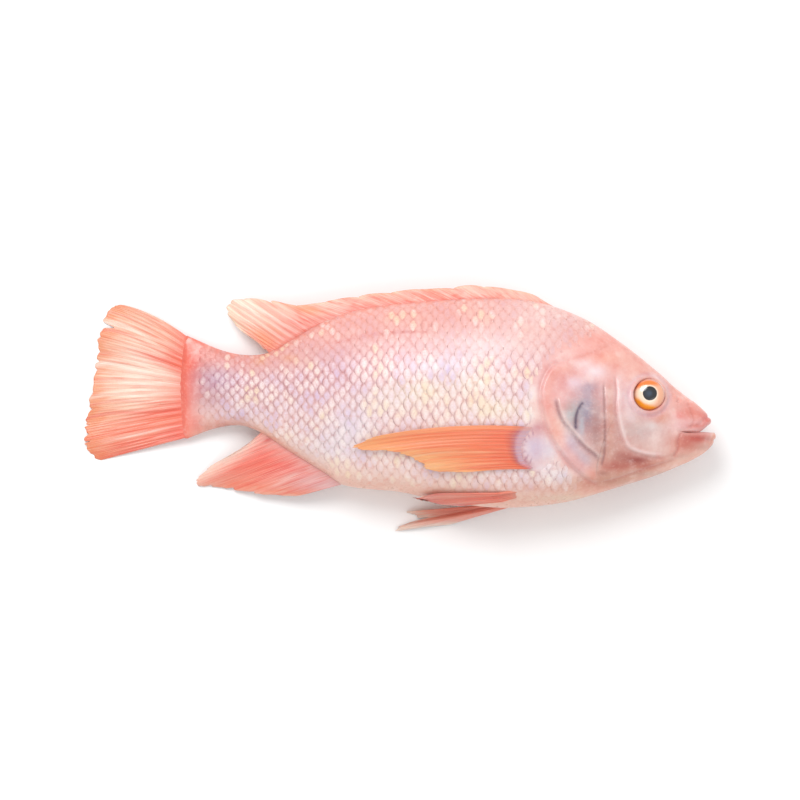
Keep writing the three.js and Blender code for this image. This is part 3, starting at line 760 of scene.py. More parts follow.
bodyPaint = {
    "tailRoot": "F0705A",
    "tailRootFrom": 0.98,  # station where the tail root's colour starts, and how far it takes to come in
    "tailRootFade": 0.028,
    "throat": "8E3530",
    "eyeRing": "DDB0BA",
    "eyeRingRadius": 9.8,
    "eyeSocket": "C47E72",
    "eyeSocketRadius": 6.9,
    "lateralLine": "E07870",
    # from the belly to the back, by share of the section
    "bands": [
        [0, "F6B8A0"], [0.08, "FCD0BE"], [0.22, "FAD2C8"], [0.42, "EEC4BE"], [0.56, "EEC0C0"],
        [0.7, "F0B8B4"], [0.84, "F6B2A8"], [1, "F5A292"],
    ],
    # station, height, length, depth, colour and strength of each patch. The near-white ones on the gill
    # cover, the cheek and just behind the gill's edge are partly the skin's own pale lilac and partly painted
    # highlights
    "patches": [
        [0.33, 0.42, 0.1, 0.1, "FBD2CC", 0.7], [0.44, 0.27, 0.1, 0.07, "FCE4E0", 0.7],
        [0.52, 0.18, 0.07, 0.06, "F1E1E8", 0.8], [0.56, 0.06, 0.06, 0.06, "F8E6C4", 0.8],
        [0.45, 0.1, 0.06, 0.05, "F9E6C8", 0.7], [0.42, -0.02, 0.06, 0.05, "F8E2C0", 0.8],
        [0.62, 0.02, 0.05, 0.06, "F3E0CC", 0.6], [0.68, 0.2, 0.08, 0.06, "EEC6CA", 0.6],
        [0.66, 0.0, 0.05, 0.07, "EBD6D4", 0.6], [0.69, -0.12, 0.06, 0.08, "E4DAE0", 0.9],
        [0.71, -0.2, 0.06, 0.07, "E8D8D8", 0.8], [0.76, -0.1, 0.04, 0.05, "DDA8A0", 0.5],
        [0.8, 0.24, 0.05, 0.05, "EFB0A8", 0.6], [0.86, 0.21, 0.014, 0.02, "F9B184", 0.8],
        [0.802, 0.225, 0.014, 0.018, "F9B184", 0.7], [0.84, 0.1, 0.04, 0.08, "EBC3C2", 0.7],
        [0.94, 0.12, 0.035, 0.06, "DEC0D4", 0.9], [0.945, 0.03, 0.025, 0.035, "D9A6A4", 0.7],
        [0.9, -0.03, 0.04, 0.05, "E6C4C2", 0.7], [0.93, -0.08, 0.04, 0.03, "E29A90", 0.5],
        [0.96, 0.26, 0.05, 0.05, "F29484", 0.7], [0.992, 0.3, 0.02, 0.06, "F06C54", 0.9],
        [0.998, 0.2, 0.014, 0.03, "F4583A", 0.8], [0.985, -0.08, 0.02, 0.06, "EE847A", 0.6],
        [0.985, 0.1, 0.014, 0.08, "EC8A84", 0.7], [0.94, -0.11, 0.05, 0.025, "D98478", 0.6],
        [0.72, 0.13, 0.06, 0.08, "E6B2B4", 0.6], [0.8, 0.06, 0.08, 0.08, "E4BAB6", 0.6],
        [0.6, 0.25, 0.12, 0.05, "EBA9A6", 0.6], [0.48, -0.14, 0.12, 0.05, "F8C4A4", 0.6],
        [0.55, -0.33, 0.14, 0.05, "FBD2C4", 0.6], [0.36, -0.32, 0.05, 0.08, "E6BCB8", 0.6],
        [0.345, -0.2, 0.02, 0.07, "D8C8D2", 0.7], [0.345, -0.14, 0.02, 0.02, "E6A090", 0.6],
        [0.30, 0.06, 0.03, 0.09, "EDAAA4", 0.7], [0.27, 0.15, 0.03, 0.05, "F0B8B2", 0.5],
        [0.24, 0.075, 0.02, 0.03, "B498A8", 0.8], [0.248, -0.03, 0.024, 0.07, "B2AAB8", 0.9],
        [0.272, -0.05, 0.015, 0.06, "C6C8C8", 0.85], [0.262, -0.1, 0.01, 0.05, "BCACB4", 0.6],
        [0.253, -0.1, 0.005, 0.045, "DCE8F0", 0.8], [0.241, -0.02, 0.01, 0.08, "B4A6B8", 0.7],
        [0.227, -0.08, 0.01, 0.14, "D0AAA6", 0.6], [0.275, -0.2, 0.02, 0.06, "D2C4D6", 0.9],
        [0.224, 0.155, 0.02, 0.03, "F8EAF2", 0.8], [0.268, 0.1, 0.016, 0.025, "F2D8E4", 0.7],
        [0.247, 0.19, 0.02, 0.02, "F6E0E2", 0.6], [0.29, 0.12, 0.012, 0.03, "E9A8A4", 0.6],
        [0.296, -0.335, 0.03, 0.03, "F4EAEE", 0.8], [0.25, -0.29, 0.014, 0.04, "DABCCA", 0.75],
        [0.33, -0.3, 0.03, 0.02, "EEDCE0", 0.7], [0.335, -0.395, 0.06, 0.018, "E89E86", 0.6],
        [0.26, -0.44, 0.08, 0.016, "ECD2B8", 0.6], [0.347, 0.05, 0.012, 0.06, "FCEEE8", 0.7],
        [0.35, -0.05, 0.012, 0.03, "FCF4EE", 0.7], [0.2, 0.22, 0.03, 0.03, "FBAE98", 0.7],
        [0.18, 0.12, 0.014, 0.05, "F6C4C0", 0.6], [0.255, -0.26, 0.02, 0.04, "CDBCCB", 0.8],
        [0.3, -0.14, 0.012, 0.08, "F0AE98", 0.6], [0.2, -0.05, 0.013, 0.16, "DDA096", 0.7],
        [0.225, -0.1, 0.01, 0.12, "CFA29E", 0.6], [0.175, 0.04, 0.015, 0.08, "EBC6C8", 0.7],
        [0.15, -0.05, 0.03, 0.05, "E6C0BA", 0.6], [0.14, -0.13, 0.035, 0.05, "E6D2D0", 0.9],
        [0.115, -0.19, 0.03, 0.04, "EAC8C2", 0.8], [0.118, -0.1, 0.014, 0.02, "F4ECEC", 0.8],
        [0.16, -0.06, 0.01, 0.03, "F6DEE0", 0.7], [0.165, 0.0, 0.008, 0.05, "F4DADC", 0.6],
        [0.075, -0.075, 0.012, 0.014, "F4D4D0", 0.7], [0.09, 0.005, 0.012, 0.02, "F2C2B8", 0.6],
        [0.055, -0.185, 0.008, 0.012, "F2C4BC", 0.7], [0.17, 0.2, 0.05, 0.06, "F4BAAC", 0.7],
        [0.13, 0.12, 0.04, 0.05, "EEB6A6", 0.6], [0.1, 0.05, 0.03, 0.05, "E6B0A2", 0.7],
        [0.1, -0.06, 0.02, 0.04, "E8A890", 0.7], [0.07, -0.02, 0.02, 0.04, "E9AEA4", 0.7],
        [0.066, -0.05, 0.01, 0.02, "EC8C88", 0.7], [0.04, -0.04, 0.025, 0.03, "E68878", 0.8],
        [0.012, -0.065, 0.014, 0.03, "DC5C50", 0.85], [0.035, -0.16, 0.034, 0.026, "C64A3A", 0.85],
        [0.055, -0.19, 0.015, 0.03, "DC8A80", 0.7], [0.035, -0.1, 0.02, 0.014, "DA7464", 0.7],
        [0.02, -0.2, 0.03, 0.016, "D9A296", 0.7], [0.07, -0.24, 0.03, 0.015, "DCA99C", 0.6],
        [0.148, -0.262, 0.026, 0.02, "B0443E", 0.9], [0.17, -0.24, 0.02, 0.02, "CC7A70", 0.6],
        [0.185, -0.29, 0.03, 0.025, "DC8070", 0.8], [0.13, -0.29, 0.04, 0.018, "DC8C7A", 0.7],
        [0.2, -0.36, 0.06, 0.02, "E4B8A4", 0.7], [0.12, -0.325, 0.06, 0.016, "E0BCAC", 0.7],
        [0.335, -0.11, 0.014, 0.03, "D08C90", 0.7], [0.315, -0.22, 0.018, 0.05, "E4DCE4", 0.7],
        [0.998, 0.21, 0.02, 0.035, "F4512E", 0.9], [0.213, -0.325, 0.012, 0.012, "A85048", 0.5],
        [0.24, -0.37, 0.03, 0.03, "E6A894", 0.6],
    ],
    # washes darken what is under them: station, height, length, depth and the tint of each. The six on the
    # lower head are painted shade, where the head turns down away from the light; the three on the rear trunk
    # deepen its tone
    "shadeAndToneWashes": [
        [0.242, -0.11, 0.034, 0.14, "E0DADE"], [0.15, -0.26, 0.06, 0.06, "DCB8AE"],
        [0.2, -0.22, 0.035, 0.12, "E4D2CC"], [0.055, -0.18, 0.035, 0.05, "EEC4B4"],
        [0.18, -0.36, 0.09, 0.05, "E8D4CC"], [0.15, -0.12, 0.06, 0.09, "ECE4E2"],
        [0.76, 0.14, 0.17, 0.17, "F4E2E2"], [0.975, 0.14, 0.05, 0.16, "ECD8DC"],
        [0.9, 0.1, 0.08, 0.14, "F2E4E8"],
    ],
    # lines: from the head's relief, its offset towards the snout, its width, colour and strength. The dark
    # ones on the groove side of the folds, darkest in the slit, are painted shade in those creases
    "lines": [
        ["gillEdge", 3.0, 2.6, "F2A898", 0.52], ["gillEdge", -0.9, 1.0, "D98C86", 0.3],
        ["coverPlate", -0.6, 1.0, "8E6068", 0.62], ["coverPlate", 0.7, 0.6, "E8CDC8", 0.6],
        ["darkSlit", 0.0, 0.75, "4A3454", 0.9], ["cheekEdge", -0.7, 0.8, "C88C86", 0.45],
        ["cheekEdge", 1.2, 1.0, "F6DEDC", 0.6], ["cheekRidge", -0.3, 0.6, "95605E", 0.7],
        ["cheekRidge", 2.6, 1.6, "DDA898", 0.5], ["jawFold", -0.3, 0.7, "C06C62", 0.5],
        ["lipFold", -0.3, 0.8, "CC7A70", 0.4], ["napeFold", 0.0, 0.8, "E8968A", 0.4],
        ["throatFold", -0.3, 0.8, "C87464", 0.45],
    ],
}
lateralLine = [[0.5, 0.35], [0.559, 0.345], [0.629, 0.338], [0.692, 0.309], [0.74, 0.28]]


def skinPaint(x, y):
    # bands by height, then patches, some of them partly painted highlights, and washes, partly painted shade,
    # then bells across the relief's lines, the dark ones painted shade in the creases, the lateral line, the
    # breast fin's base and the eye's socket
    station = stationOf(x)
    top, bottom, _, _, _ = section(np.clip(station, 0, 1))
    share = np.clip((y - bottom) / (top - bottom), 0, 1)
    colour = rampColours(bodyPaint["bands"], share)

    def nearness(place, height, length, depth):
        return hump(np.hypot((station - place) / length, (y / bodyDepth - height) / depth))

    # the near-white patches on the head are partly painted highlights
    for *patch, text, strength in bodyPaint["patches"]:
        colour = blendIn(colour, text, strength * nearness(*patch))
    # each wash multiplies the colour: painted shade on the lower head, a deeper tone on the rear trunk
    for *wash, text in bodyPaint["shadeAndToneWashes"]:
        colour = colour * (1 - (1 - rgb(text)) * nearness(*wash)[..., None])
    rootShare = smooth((station - bodyPaint["tailRootFrom"]) / bodyPaint["tailRootFade"])
    colour = blendIn(colour, bodyPaint["tailRoot"], 0.95 * rootShare)
    head = np.flatnonzero(station < 0.45)  # no line of the relief is further back
    # the dark bells on the grooves' side are painted shade in the creases
    for name, offset, wide, text, strength in bodyPaint["lines"]:
        distance, way = curveField(x[head], y[head], headRelief[name]["line"])
        ends = smooth(way / 0.1) * smooth((1 - way) / 0.1)
        colour[head] = blendIn(colour[head], text, strength * ends * hump((distance - offset) / wide))
    distance, way = curveField(x, y, lateralLine)
    ends = smooth(way / 0.2) * smooth((1 - way) / 0.2)
    colour = blendIn(colour, bodyPaint["lateralLine"], 0.6 * ends * hump(distance / 0.8))
    away, heading = breastAway(x, y)
    marks = smooth(np.sin(heading * breastBase["marks"]) * 2 - 0.4) * (np.abs(heading) < 1.4)
    rim = hump((away - 1.0) / 0.12) * smooth(1.7 - np.abs(heading))
    colour = blendIn(colour, breastBase["colour"], 0.75 * hump(away / 0.85))
    colour = blendIn(colour, breastBase["markColour"], 0.6 * marks * hump((away - 0.8) / 0.16))
    colour = blendIn(colour, breastBase["rimColour"], 0.7 * rim)
    low, high = nodeBox("eye_right")
    away = np.hypot(x - (low + high)[0] / 2, y - (low + high)[1] / 2)
    colour = blendIn(colour, bodyPaint["eyeRing"], 0.5 * hump((away - bodyPaint["eyeRingRadius"]) / 1.2))
    return blendIn(colour, bodyPaint["eyeSocket"], 0.7 * (1 - smooth(away - bodyPaint["eyeSocketRadius"])))


scaleLay = {
    "pitch": 5.3,  # along the body, on the trunk
    "pitchAtTail": 4.7,
    "row": 7.3,  # between rows, on the trunk
    "rowAtTail": 4.9,
    "first": 0.19,  # stations of the first and last scales
    "last": 0.968,
    "length": 0.84,  # half length and half width, in pitches and rows
    "width": 0.68,
    "frontLift": -0.3,  # height of the hidden front and of the free rear edge
    "rearLift": 0.17,
    "crown": 0.14,
    "edgeDrop": 0.08,  # how far the very edge rounds off
    "thickness": 0.1,
    "around": 14,
    "rings": [0.6, 0.92, 1.0],
    "jitter": 0.35,
    "grow": 0.1,  # spread of their sizes and of their rear edges' lifts
    "tilt": 0.5,
    "blunt": 0.16,  # how much the free edge is flattened
    "behindGill": 1.1,  # distances from which a scale is kept, in millimetres and in radii of the fin's base
    "awayFromFin": 1.3,
    # the pearl comes in above the belly and behind the gill, and is weaker on the back and at the tail
    "clearFrom": 0.02, "clearOver": 0.16, "clearBehind": 4,
    "backFrom": 0.64, "backOver": 0.14, "backLoss": 0.72,
    "tailFrom": 0.9, "tailOver": 0.06, "tailLoss": 0.75,
    # stations and heights where the scales end, above and below the gill's edge
    "napeEdge": [[0.15, 0.42], [0.2, 0.33], [0.245, 0.25], [0.28, 0.22]],
    "throatEdge": [[0.225, -0.43]],
    "tuck": 1.0,  # how deep the scales go under the gill's edge and the breast fin's base
}


def girth(stations, side):
    # for each station, the angle at every share of the arc, from the thickest line up and down
    shares = np.linspace(0, 1, 65)
    tables = []
    for sign in (1, -1):
        bend = np.linspace(0, math.pi / 2, 97) * sign
        angle = bend if side > 0 else math.pi - bend
        path = skinAt(stations[:, None], angle[None, :])
        arc = np.cumsum(np.linalg.norm(np.diff(path, axis=1), axis=-1), 1)
        arc = np.concatenate([np.zeros((len(stations), 1)), arc], 1)
        whole = arc[:, -1]
        table = np.stack([np.interp(shares * whole[i], arc[i], angle) for i in range(len(stations))])
        tables.append((whole, table))
    return tables


def seatOf(x, arc, stations, tables):
    # the station and angle of a place given by x and by the arc above the thickest line
    station = stationOf(x)
    at = np.clip((station - stations[0]) / (stations[1] - stations[0]), 0, len(stations) - 1.001)
    i = at.astype(int)
    part = at - i
    found = []
    for whole, table in tables:
        length = whole[i] * (1 - part) + whole[i + 1] * part
        share = np.clip(np.abs(arc) / length, 0, 0.9999) * (table.shape[1] - 1)
        j = share.astype(int)
        rest = share - j
        near = table[i, j] * (1 - rest) + table[i, j + 1] * rest
        far = table[i + 1, j] * (1 - rest) + table[i + 1, j + 1] * rest
        found.append(near * (1 - part) + far * part)
    return station, np.where(arc > 0, found[0], found[1])


def scaleSeats(stations, tables):
    # a staggered lattice: columns a pitch apart along the body, rows a row apart around it
    x, seats, count = xAt(scaleLay["first"]), [], 0
    while stationOf(x) < scaleLay["last"]:
        tail = smooth((stationOf(x) - 0.5) / 0.4)
        pitch = scaleLay["pitch"] + (scaleLay["pitchAtTail"] - scaleLay["pitch"]) * tail
        row = scaleLay["row"] + (scaleLay["rowAtTail"] - scaleLay["row"]) * tail
        steps = np.arange(-12, 13) + 0.5 * (count % 2)
        seats.append(np.stack([np.full(25, x), steps * row, np.full(25, pitch), np.full(25, row)], 1))
        x -= pitch / 2
        count += 1
    seats = np.concatenate(seats)
    index = np.clip(np.searchsorted(stations, stationOf(seats[:, 0])), 0, len(stations) - 1)
    room = np.where(seats[:, 1] > 0, tables[0][0][index], tables[1][0][index])
    seats = seats[np.abs(seats[:, 1]) < room - 1.5]
    station, angle = seatOf(seats[:, 0], seats[:, 1], stations, tables)
    place = skinAt(station, angle)
    behind, clear, away = scaleField(place[:, 0], place[:, 1])
    kept = (behind > scaleLay["behindGill"]) & (away > scaleLay["awayFromFin"])
    return seats[kept], behind[kept], clear[kept]


def scaleField(x, y):
    # how far behind the head's edge, how clearly the scales show, and how far from the breast fin's base
    line = scaleLay["napeEdge"] + headRelief["gillEdge"]["line"][2:-1] + scaleLay["throatEdge"]
    distance, _ = curveField(x, y, line)
    top, bottom, _, _, _ = section(np.clip(stationOf(x), 0, 1))
    share = (y - bottom) / (top - bottom)
    clear = smooth((share - scaleLay["clearFrom"]) / scaleLay["clearOver"])
    clear = clear * (1 - scaleLay["backLoss"] * smooth((share - scaleLay["backFrom"]) / scaleLay["backOver"]))
    tail = smooth((stationOf(x) - scaleLay["tailFrom"]) / scaleLay["tailOver"])
    clear = clear * smooth(-distance / scaleLay["clearBehind"]) * (1 - scaleLay["tailLoss"] * tail)
    return -distance, clear, breastAway(x, y)[0]


def makeScales():
    # every scale is a thin disc laid on the skin, its front tucked under the scale before it. Its lift grows
    # from front to rear, crowned by one minus the radius squared
    stations = np.linspace(0.1, 1, 181)
    turn = np.linspace(0, 2 * math.pi, scaleLay["around"], endpoint=False)
    rings = np.array(scaleLay["rings"])
    discA = np.concatenate([[0], (rings[:, None] * np.cos(turn)).ravel()])
    discB = np.concatenate([[0], (rings[:, None] * np.sin(turn)).ravel()])
    discR = np.concatenate([[0], np.repeat(rings, len(turn))])
    pointsPerSide, paints, chances, clears = [], [], [], []
    for side in (1, -1):
        tables = girth(stations, side)
        seats, behind, clear = scaleSeats(stations, tables)
        count = len(seats)
        grow = 1 + scaleLay["grow"] * (dice.random((count, 1)) - 0.5)
        shift = scaleLay["jitter"] * (dice.random((count, 2)) - 0.5) * 2
        tilt = 1 + scaleLay["tilt"] * (dice.random((count, 1)) - 0.5)
        blunt = discA * (1 - scaleLay["blunt"] * np.square(discB))
        x = seats[:, :1] + shift[:, :1] - blunt * seats[:, 2:3] * scaleLay["length"] * grow
        arc = seats[:, 1:2] + shift[:, 1:] - side * discB * seats[:, 3:] * scaleLay["width"] * grow
        station, angle = seatOf(x, arc, stations, tables)
        base = skinAt(station, angle)
        normal = skinNormal(station, angle)
        slope = 0.5 + 0.5 * discA
        rear = scaleLay["rearLift"] * tilt * (0.3 + 0.7 * clear[:, None])
        front = scaleLay["frontLift"] - 0.5 * (1 - smooth(behind[:, None] / 9))
        lift = front + (rear - front) * slope + gentleRise(base[..., 0], base[..., 1])
        edge, _, away = scaleField(base[..., 0].ravel(), base[..., 1].ravel())
        covered = smooth((1.8 - edge) / 1.4) + smooth((1.25 - away) / 0.15)
        lift = lift - scaleLay["tuck"] * covered.reshape(lift.shape)
        top = lift + scaleLay["crown"] * (1 - np.square(discR)) - scaleLay["edgeDrop"] * np.power(discR, 9)
        upper = base + normal * top[..., None]
        under = base[:, :1] + normal[:, :1] * (lift[:, :1] - scaleLay["thickness"])[..., None]
        points = np.concatenate([upper, under], 1)
        points[..., 2] = settle(points[..., 2])
        pointsPerSide.append(points)
        both = np.concatenate([base, base[:, :1]], 1).reshape(-1, 3)
        paints.append(skinPaint(both[:, 0], both[:, 1]))
        chances.append(np.repeat(dice.random(count), points.shape[1]))
        clears.append(np.repeat(clear, points.shape[1]))
    points = np.concatenate(pointsPerSide)
    faces, places, lay = scaleFaces(len(points), len(turn), len(rings), discA, discB)
    return addPiece(
        "scales", points.reshape(-1, 3), faces, scaleLook(), (), {"lay": lay, "OFBake": places},
        np.concatenate(paints), {"chance": np.concatenate(chances), "clear": np.concatenate(clears)},
    )


def scaleFaces(count, around, rings, discA, discB):
    # the faces of one disc, a fan and bands above and a fan below, repeated for every disc
    under = 1 + rings * around
    ring = 1 + np.arange(rings * around).reshape(rings, around)
    after = np.roll(ring, -1, 1)
    fans = np.concatenate([capFan(0, ring[0]), capFan(under, ring[-1], flip=True)])
    quads = np.stack([ring[:-1], ring[1:], after[1:], after[:-1]], -1).reshape(-1, 4)
    step = (np.arange(count) * (under + 1))[:, None, None]
    disc = np.stack([np.append(discA, 0), np.append(discB, 0)], 1)
    across = math.ceil(math.sqrt(count * 2))
    cell = 2 * np.arange(count)
    upperCell = np.stack([cell % across, cell // across], 1)
    underCell = np.stack([(cell + 1) % across, (cell + 1) // across], 1)
    places, lay = [], []
    for shapes in (fans, quads):
        isUnder = (shapes == under).any(1)[None, :, None, None]
        home = np.where(isUnder, underCell[:, None, None], upperCell[:, None, None])
        places.append(((home + 0.5 + 0.46 * disc[shapes][None]) / across).reshape(-1, 2))
        lay.append(np.tile(0.5 + 0.5 * disc[shapes].reshape(-1, 2), (count, 1)))
    faces = (fans[None] + step).reshape(-1, 3).tolist() + (quads[None] + step).reshape(-1, 4).tolist()
    return faces, np.concatenate(places), np.concatenate(lay)


def fanPoints(rays, u, v):
    # between a smooth curve through the rays' roots and one through their tips
    places = np.linspace(0, 1, len(rays))
    root = follow(places, np.array([ray[0] for ray in rays]), v)
    tip = follow(places, np.array([ray[1] for ray in rays]), v)
    return root + (tip - root) * u[..., None]


def plainFan(rays):
    # the middle of a fin that is spread straight between its rays

    def middleOf(u, v):
        return fanPoints(rays, u, v)

    return middleOf


def rayWave(u, v, count, forkAt):
    # 1 on a ray and 0 between rays. Past forkAt each ray is two, and further out four
    v = v + 0.006 * np.sin(19 * v + 1) + 0.003 * np.sin(53 * v)
    once = 0.5 + 0.5 * np.cos(2 * math.pi * count * v)
    twice = 0.5 + 0.5 * np.cos(4 * math.pi * count * v)
    often = 0.5 + 0.5 * np.cos(8 * math.pi * count * v)
    first, second = smooth((u - forkAt) / 0.25), smooth((u - forkAt - 0.35) / 0.25)
    return once * (1 - first) + (twice * (1 - second) + often * second) * first


def finEdge(v, fin):
    # how far out each ray ends: broad lobes with narrow notches between them, and a few deeper splits
    lobe = np.abs(np.sin(math.pi * fin["lobes"] * v + 0.8 * np.sin(5 * v))) ** 0.45
    depth = fin["scallop"] * (0.6 + 0.4 * np.sin(31 * v + 1.3))
    if "softFrom" in fin:
        depth = depth * (1 - 0.7 * smooth((v - fin["softFrom"]) / 0.08))
    fringe = 0.008 * np.sin(47 * v) + 0.009 * np.sin(127 * v) * np.sin(23 * v + 1)
    edge = 1 - depth * (1 - lobe) + fringe
    for place, deep, wide in fin.get("splits", []):
        edge = edge - deep * hump((v - place) / wide)
    return edge


def finPaint(u, v, fin, wave):
    # a ramp along the rays, patches by share along and across, and the rays in their own tint
    colour = rampColours(fin["ramp"], u)
    ragged = 0.84 + 0.05 * np.sin(43 * v) + 0.03 * np.sin(97 * v + 1)
    colour = blendIn(colour, fin["tipTint"], 0.9 * smooth((u - ragged) / 0.08))
    for place, start, text, strength, wide in fin["streaks"]:
        bend = place + 0.02 * np.sin(6 * u)
        colour = blendIn(colour, text, strength * hump((v - bend) / wide) * smooth((u - start) / 0.2))
    for place, across, length, width, text, strength in fin["patches"]:
        away = np.hypot((u - place) / length, (v - across) / width)
        colour = blendIn(colour, text, strength * hump(away))
    return blendIn(colour, fin["rayTint"], fin["rayShare"] * wave * (0.4 + 0.6 * np.sin(v * 83) ** 2))


def makeFin(name, node, middleOf, fin):
    # a mid surface with half the thickness on either side of it, thick on the rays and thin between
    u, v = np.meshgrid(np.linspace(0, 1, fin["grid"][0]), np.linspace(0, 1, fin["grid"][1]), indexing="ij")
    out = u * (1 - smooth(u / 0.3) * (1 - finEdge(v, fin)))
    middle = middleOf(out, v)
    normal = gridNormals(middle)
    wave = rayWave(u, v, fin["rays"], fin.get("forkAt", 2))
    sides = smooth(np.minimum(v, 1 - v) / 0.02 + 0.5)
    ridge = 1 - fin["furrow"] * (1 - wave) * smooth(u / 0.25)
    ends = (0.3 + 0.7 * smooth(u / 0.1)) * (1 - 0.6 * smooth((u - 0.9) / 0.1))
    thick = (fin["root"] * (1 - u) ** 1.6 + fin["edge"]) * ridge * sides * ends
    sway = fin["ripple"] * u * np.sin(v * fin["ripples"] * math.pi + 2.2 * u)
    middle = middle + normal * sway[..., None]
    upper = middle + normal * (thick / 2)[..., None]
    lower = middle - normal * (thick / 2)[..., None]
    for face in (upper, lower):
        face[..., 2] = np.maximum(face[..., 2], 0.05)
    rows, columns = u.shape
    quads, row, column = gridFaces(rows, columns)
    step = rows * columns
    grid = np.arange(step).reshape(rows, columns)
    loop = np.concatenate([grid[:, 0], grid[-1, 1:], grid[-2::-1, -1], grid[0, -2:0:-1]])
    after = np.roll(loop, -1)
    rim = np.stack([after, loop, loop + step, after + step], 1)
    faces = np.concatenate([quads, quads[:, ::-1] + step, rim])
    flat = np.stack([0.48 * row / (rows - 1), column / (columns - 1)], -1)
    under = flat[:, ::-1] + [0.52, 0]
    k = np.arange(len(loop)) / len(loop)
    kNext = k + 1 / len(loop)
    corners = ((0.485, kNext), (0.485, k), (0.515, k), (0.515, kNext))
    edge = np.stack([np.stack([k * 0 + x, y], 1) for x, y in corners], 1)
    bake = np.concatenate([flat.reshape(-1, 2), under.reshape(-1, 2), edge.reshape(-1, 2)])
    pointLay = np.stack([u, v], -1).reshape(-1, 2)
    lay = np.concatenate([pointLay, pointLay])[faces.ravel()]
    paint = finPaint(u, v, fin, wave).reshape(-1, 3)
    points = np.concatenate([upper.reshape(-1, 3), lower.reshape(-1, 3)])
    maps, paints = {"lay": lay, "OFBake": bake}, np.concatenate([paint, paint])
    return addPiece(name, points, faces.tolist(), finLook(name + "Skin"), [node], maps, paints)


rootDepth = 2  # how deep the fins start under the skin, in millimetres
tailFin = {
    "length": 49, "tableGap": 0.55, "bow": 0.05, "insetTop": 2.2, "insetBelow": 1.0,
    # tips: share of the length outwards, and height in depths, from the upper ray down
    "tips": [
        [0.69, 0.49], [0.81, 0.47], [0.88, 0.38], [0.92, 0.3], [0.95, 0.18],
        [0.99, 0.04], [1.03, -0.05], [1.045, -0.13], [1.035, -0.2], [0.9, -0.257],
    ],
    "grid": (72, 320), "rays": 16, "forkAt": 0.3, "lobes": 13, "scallop": 0.05,
    "splits": [[0.205, 0.1, 0.009], [0.41, 0.03, 0.006], [0.72, 0.04, 0.005], [0.84, 0.06, 0.006]],
    "root": 2.7, "edge": 0.5, "furrow": 0.35, "ripple": 0.45, "ripples": 7,
    "ramp": [[0, "F26A58"], [0.14, "F8826C"], [0.3, "FAA68C"], [0.6, "FBC0A4"], [1, "FAA880"]],
    "patches": [
        [0.5, 0.43, 0.36, 0.17, "FDE6D4", 0.92], [0.5, 0.1, 0.3, 0.08, "FBBCA2", 0.7],
        [0.07, 0.29, 0.16, 0.08, "F4502C", 0.9], [0.3, 0.325, 0.3, 0.028, "F0604C", 0.85],
        [0.2, 0.72, 0.4, 0.05, "F0624C", 0.8], [0.5, 0.8, 0.5, 0.07, "F8704E", 0.85],
        [0.45, 0.93, 0.5, 0.05, "F66A50", 0.85], [0.6, 0.99, 0.5, 0.03, "E4523E", 0.85],
        [0.55, 0.865, 0.3, 0.012, "FCC8B8", 0.8], [0.18, 0.3, 0.1, 0.06, "FA6E4C", 0.6],
        [0.2, 0.92, 0.15, 0.08, "EE6858", 0.6],
    ],
    # rays that stand out: share across, where they start, colour, strength and width
    "streaks": [
        [0.03, 0.1, "F69A86", 0.6, 0.012], [0.14, 0.2, "F8A88E", 0.6, 0.012],
        [0.2, 0.4, "FDE6D6", 0.8, 0.016], [0.24, 0.1, "F07860", 0.75, 0.012],
        [0.31, 0.3, "F9B096", 0.6, 0.008], [0.38, 0.0, "F6957C", 0.6, 0.007],
        [0.43, 0.2, "FFF0E4", 0.7, 0.014], [0.5, 0.0, "F7A28A", 0.5, 0.008],
        [0.56, 0.3, "FCE0CE", 0.6, 0.012], [0.6, 0.0, "F28A74", 0.6, 0.008],
        [0.68, 0.0, "EE6E58", 0.8, 0.012], [0.76, 0.3, "FBB29A", 0.5, 0.01],
        [0.83, 0.2, "F26C54", 0.6, 0.01],
    ],
    "tipTint": "F79564", "rayTint": "EE8468", "rayShare": 0.3,
}


def makeTailFin():
    # rays from the body's last section to tips just over the table, bowed upwards near the top
    top, bottom, _, _, middle = section(np.array(1.0))
    top, bottom = top - tailFin["insetTop"], bottom + tailFin["insetBelow"]
    rootX = xAt(1) + rootDepth
    rays = []
    for down, (out, height) in zip(np.linspace(0, 1, len(tailFin["tips"])), tailFin["tips"]):
        tip = [rootX - out * tailFin["length"], height * bodyDepth, tailFin["tableGap"]]
        rays.append([[rootX, top + (bottom - top) * down, middle], tip])

    def middleOf(u, v):
        point = fanPoints(rays, u, v)
        point[..., 1] += tailFin["bow"] * tailFin["length"] * (1 - v) ** 2 * 4 * u * (1 - u)
        return point

    return makeFin("tailFin", "caudal_fin", middleOf, tailFin)


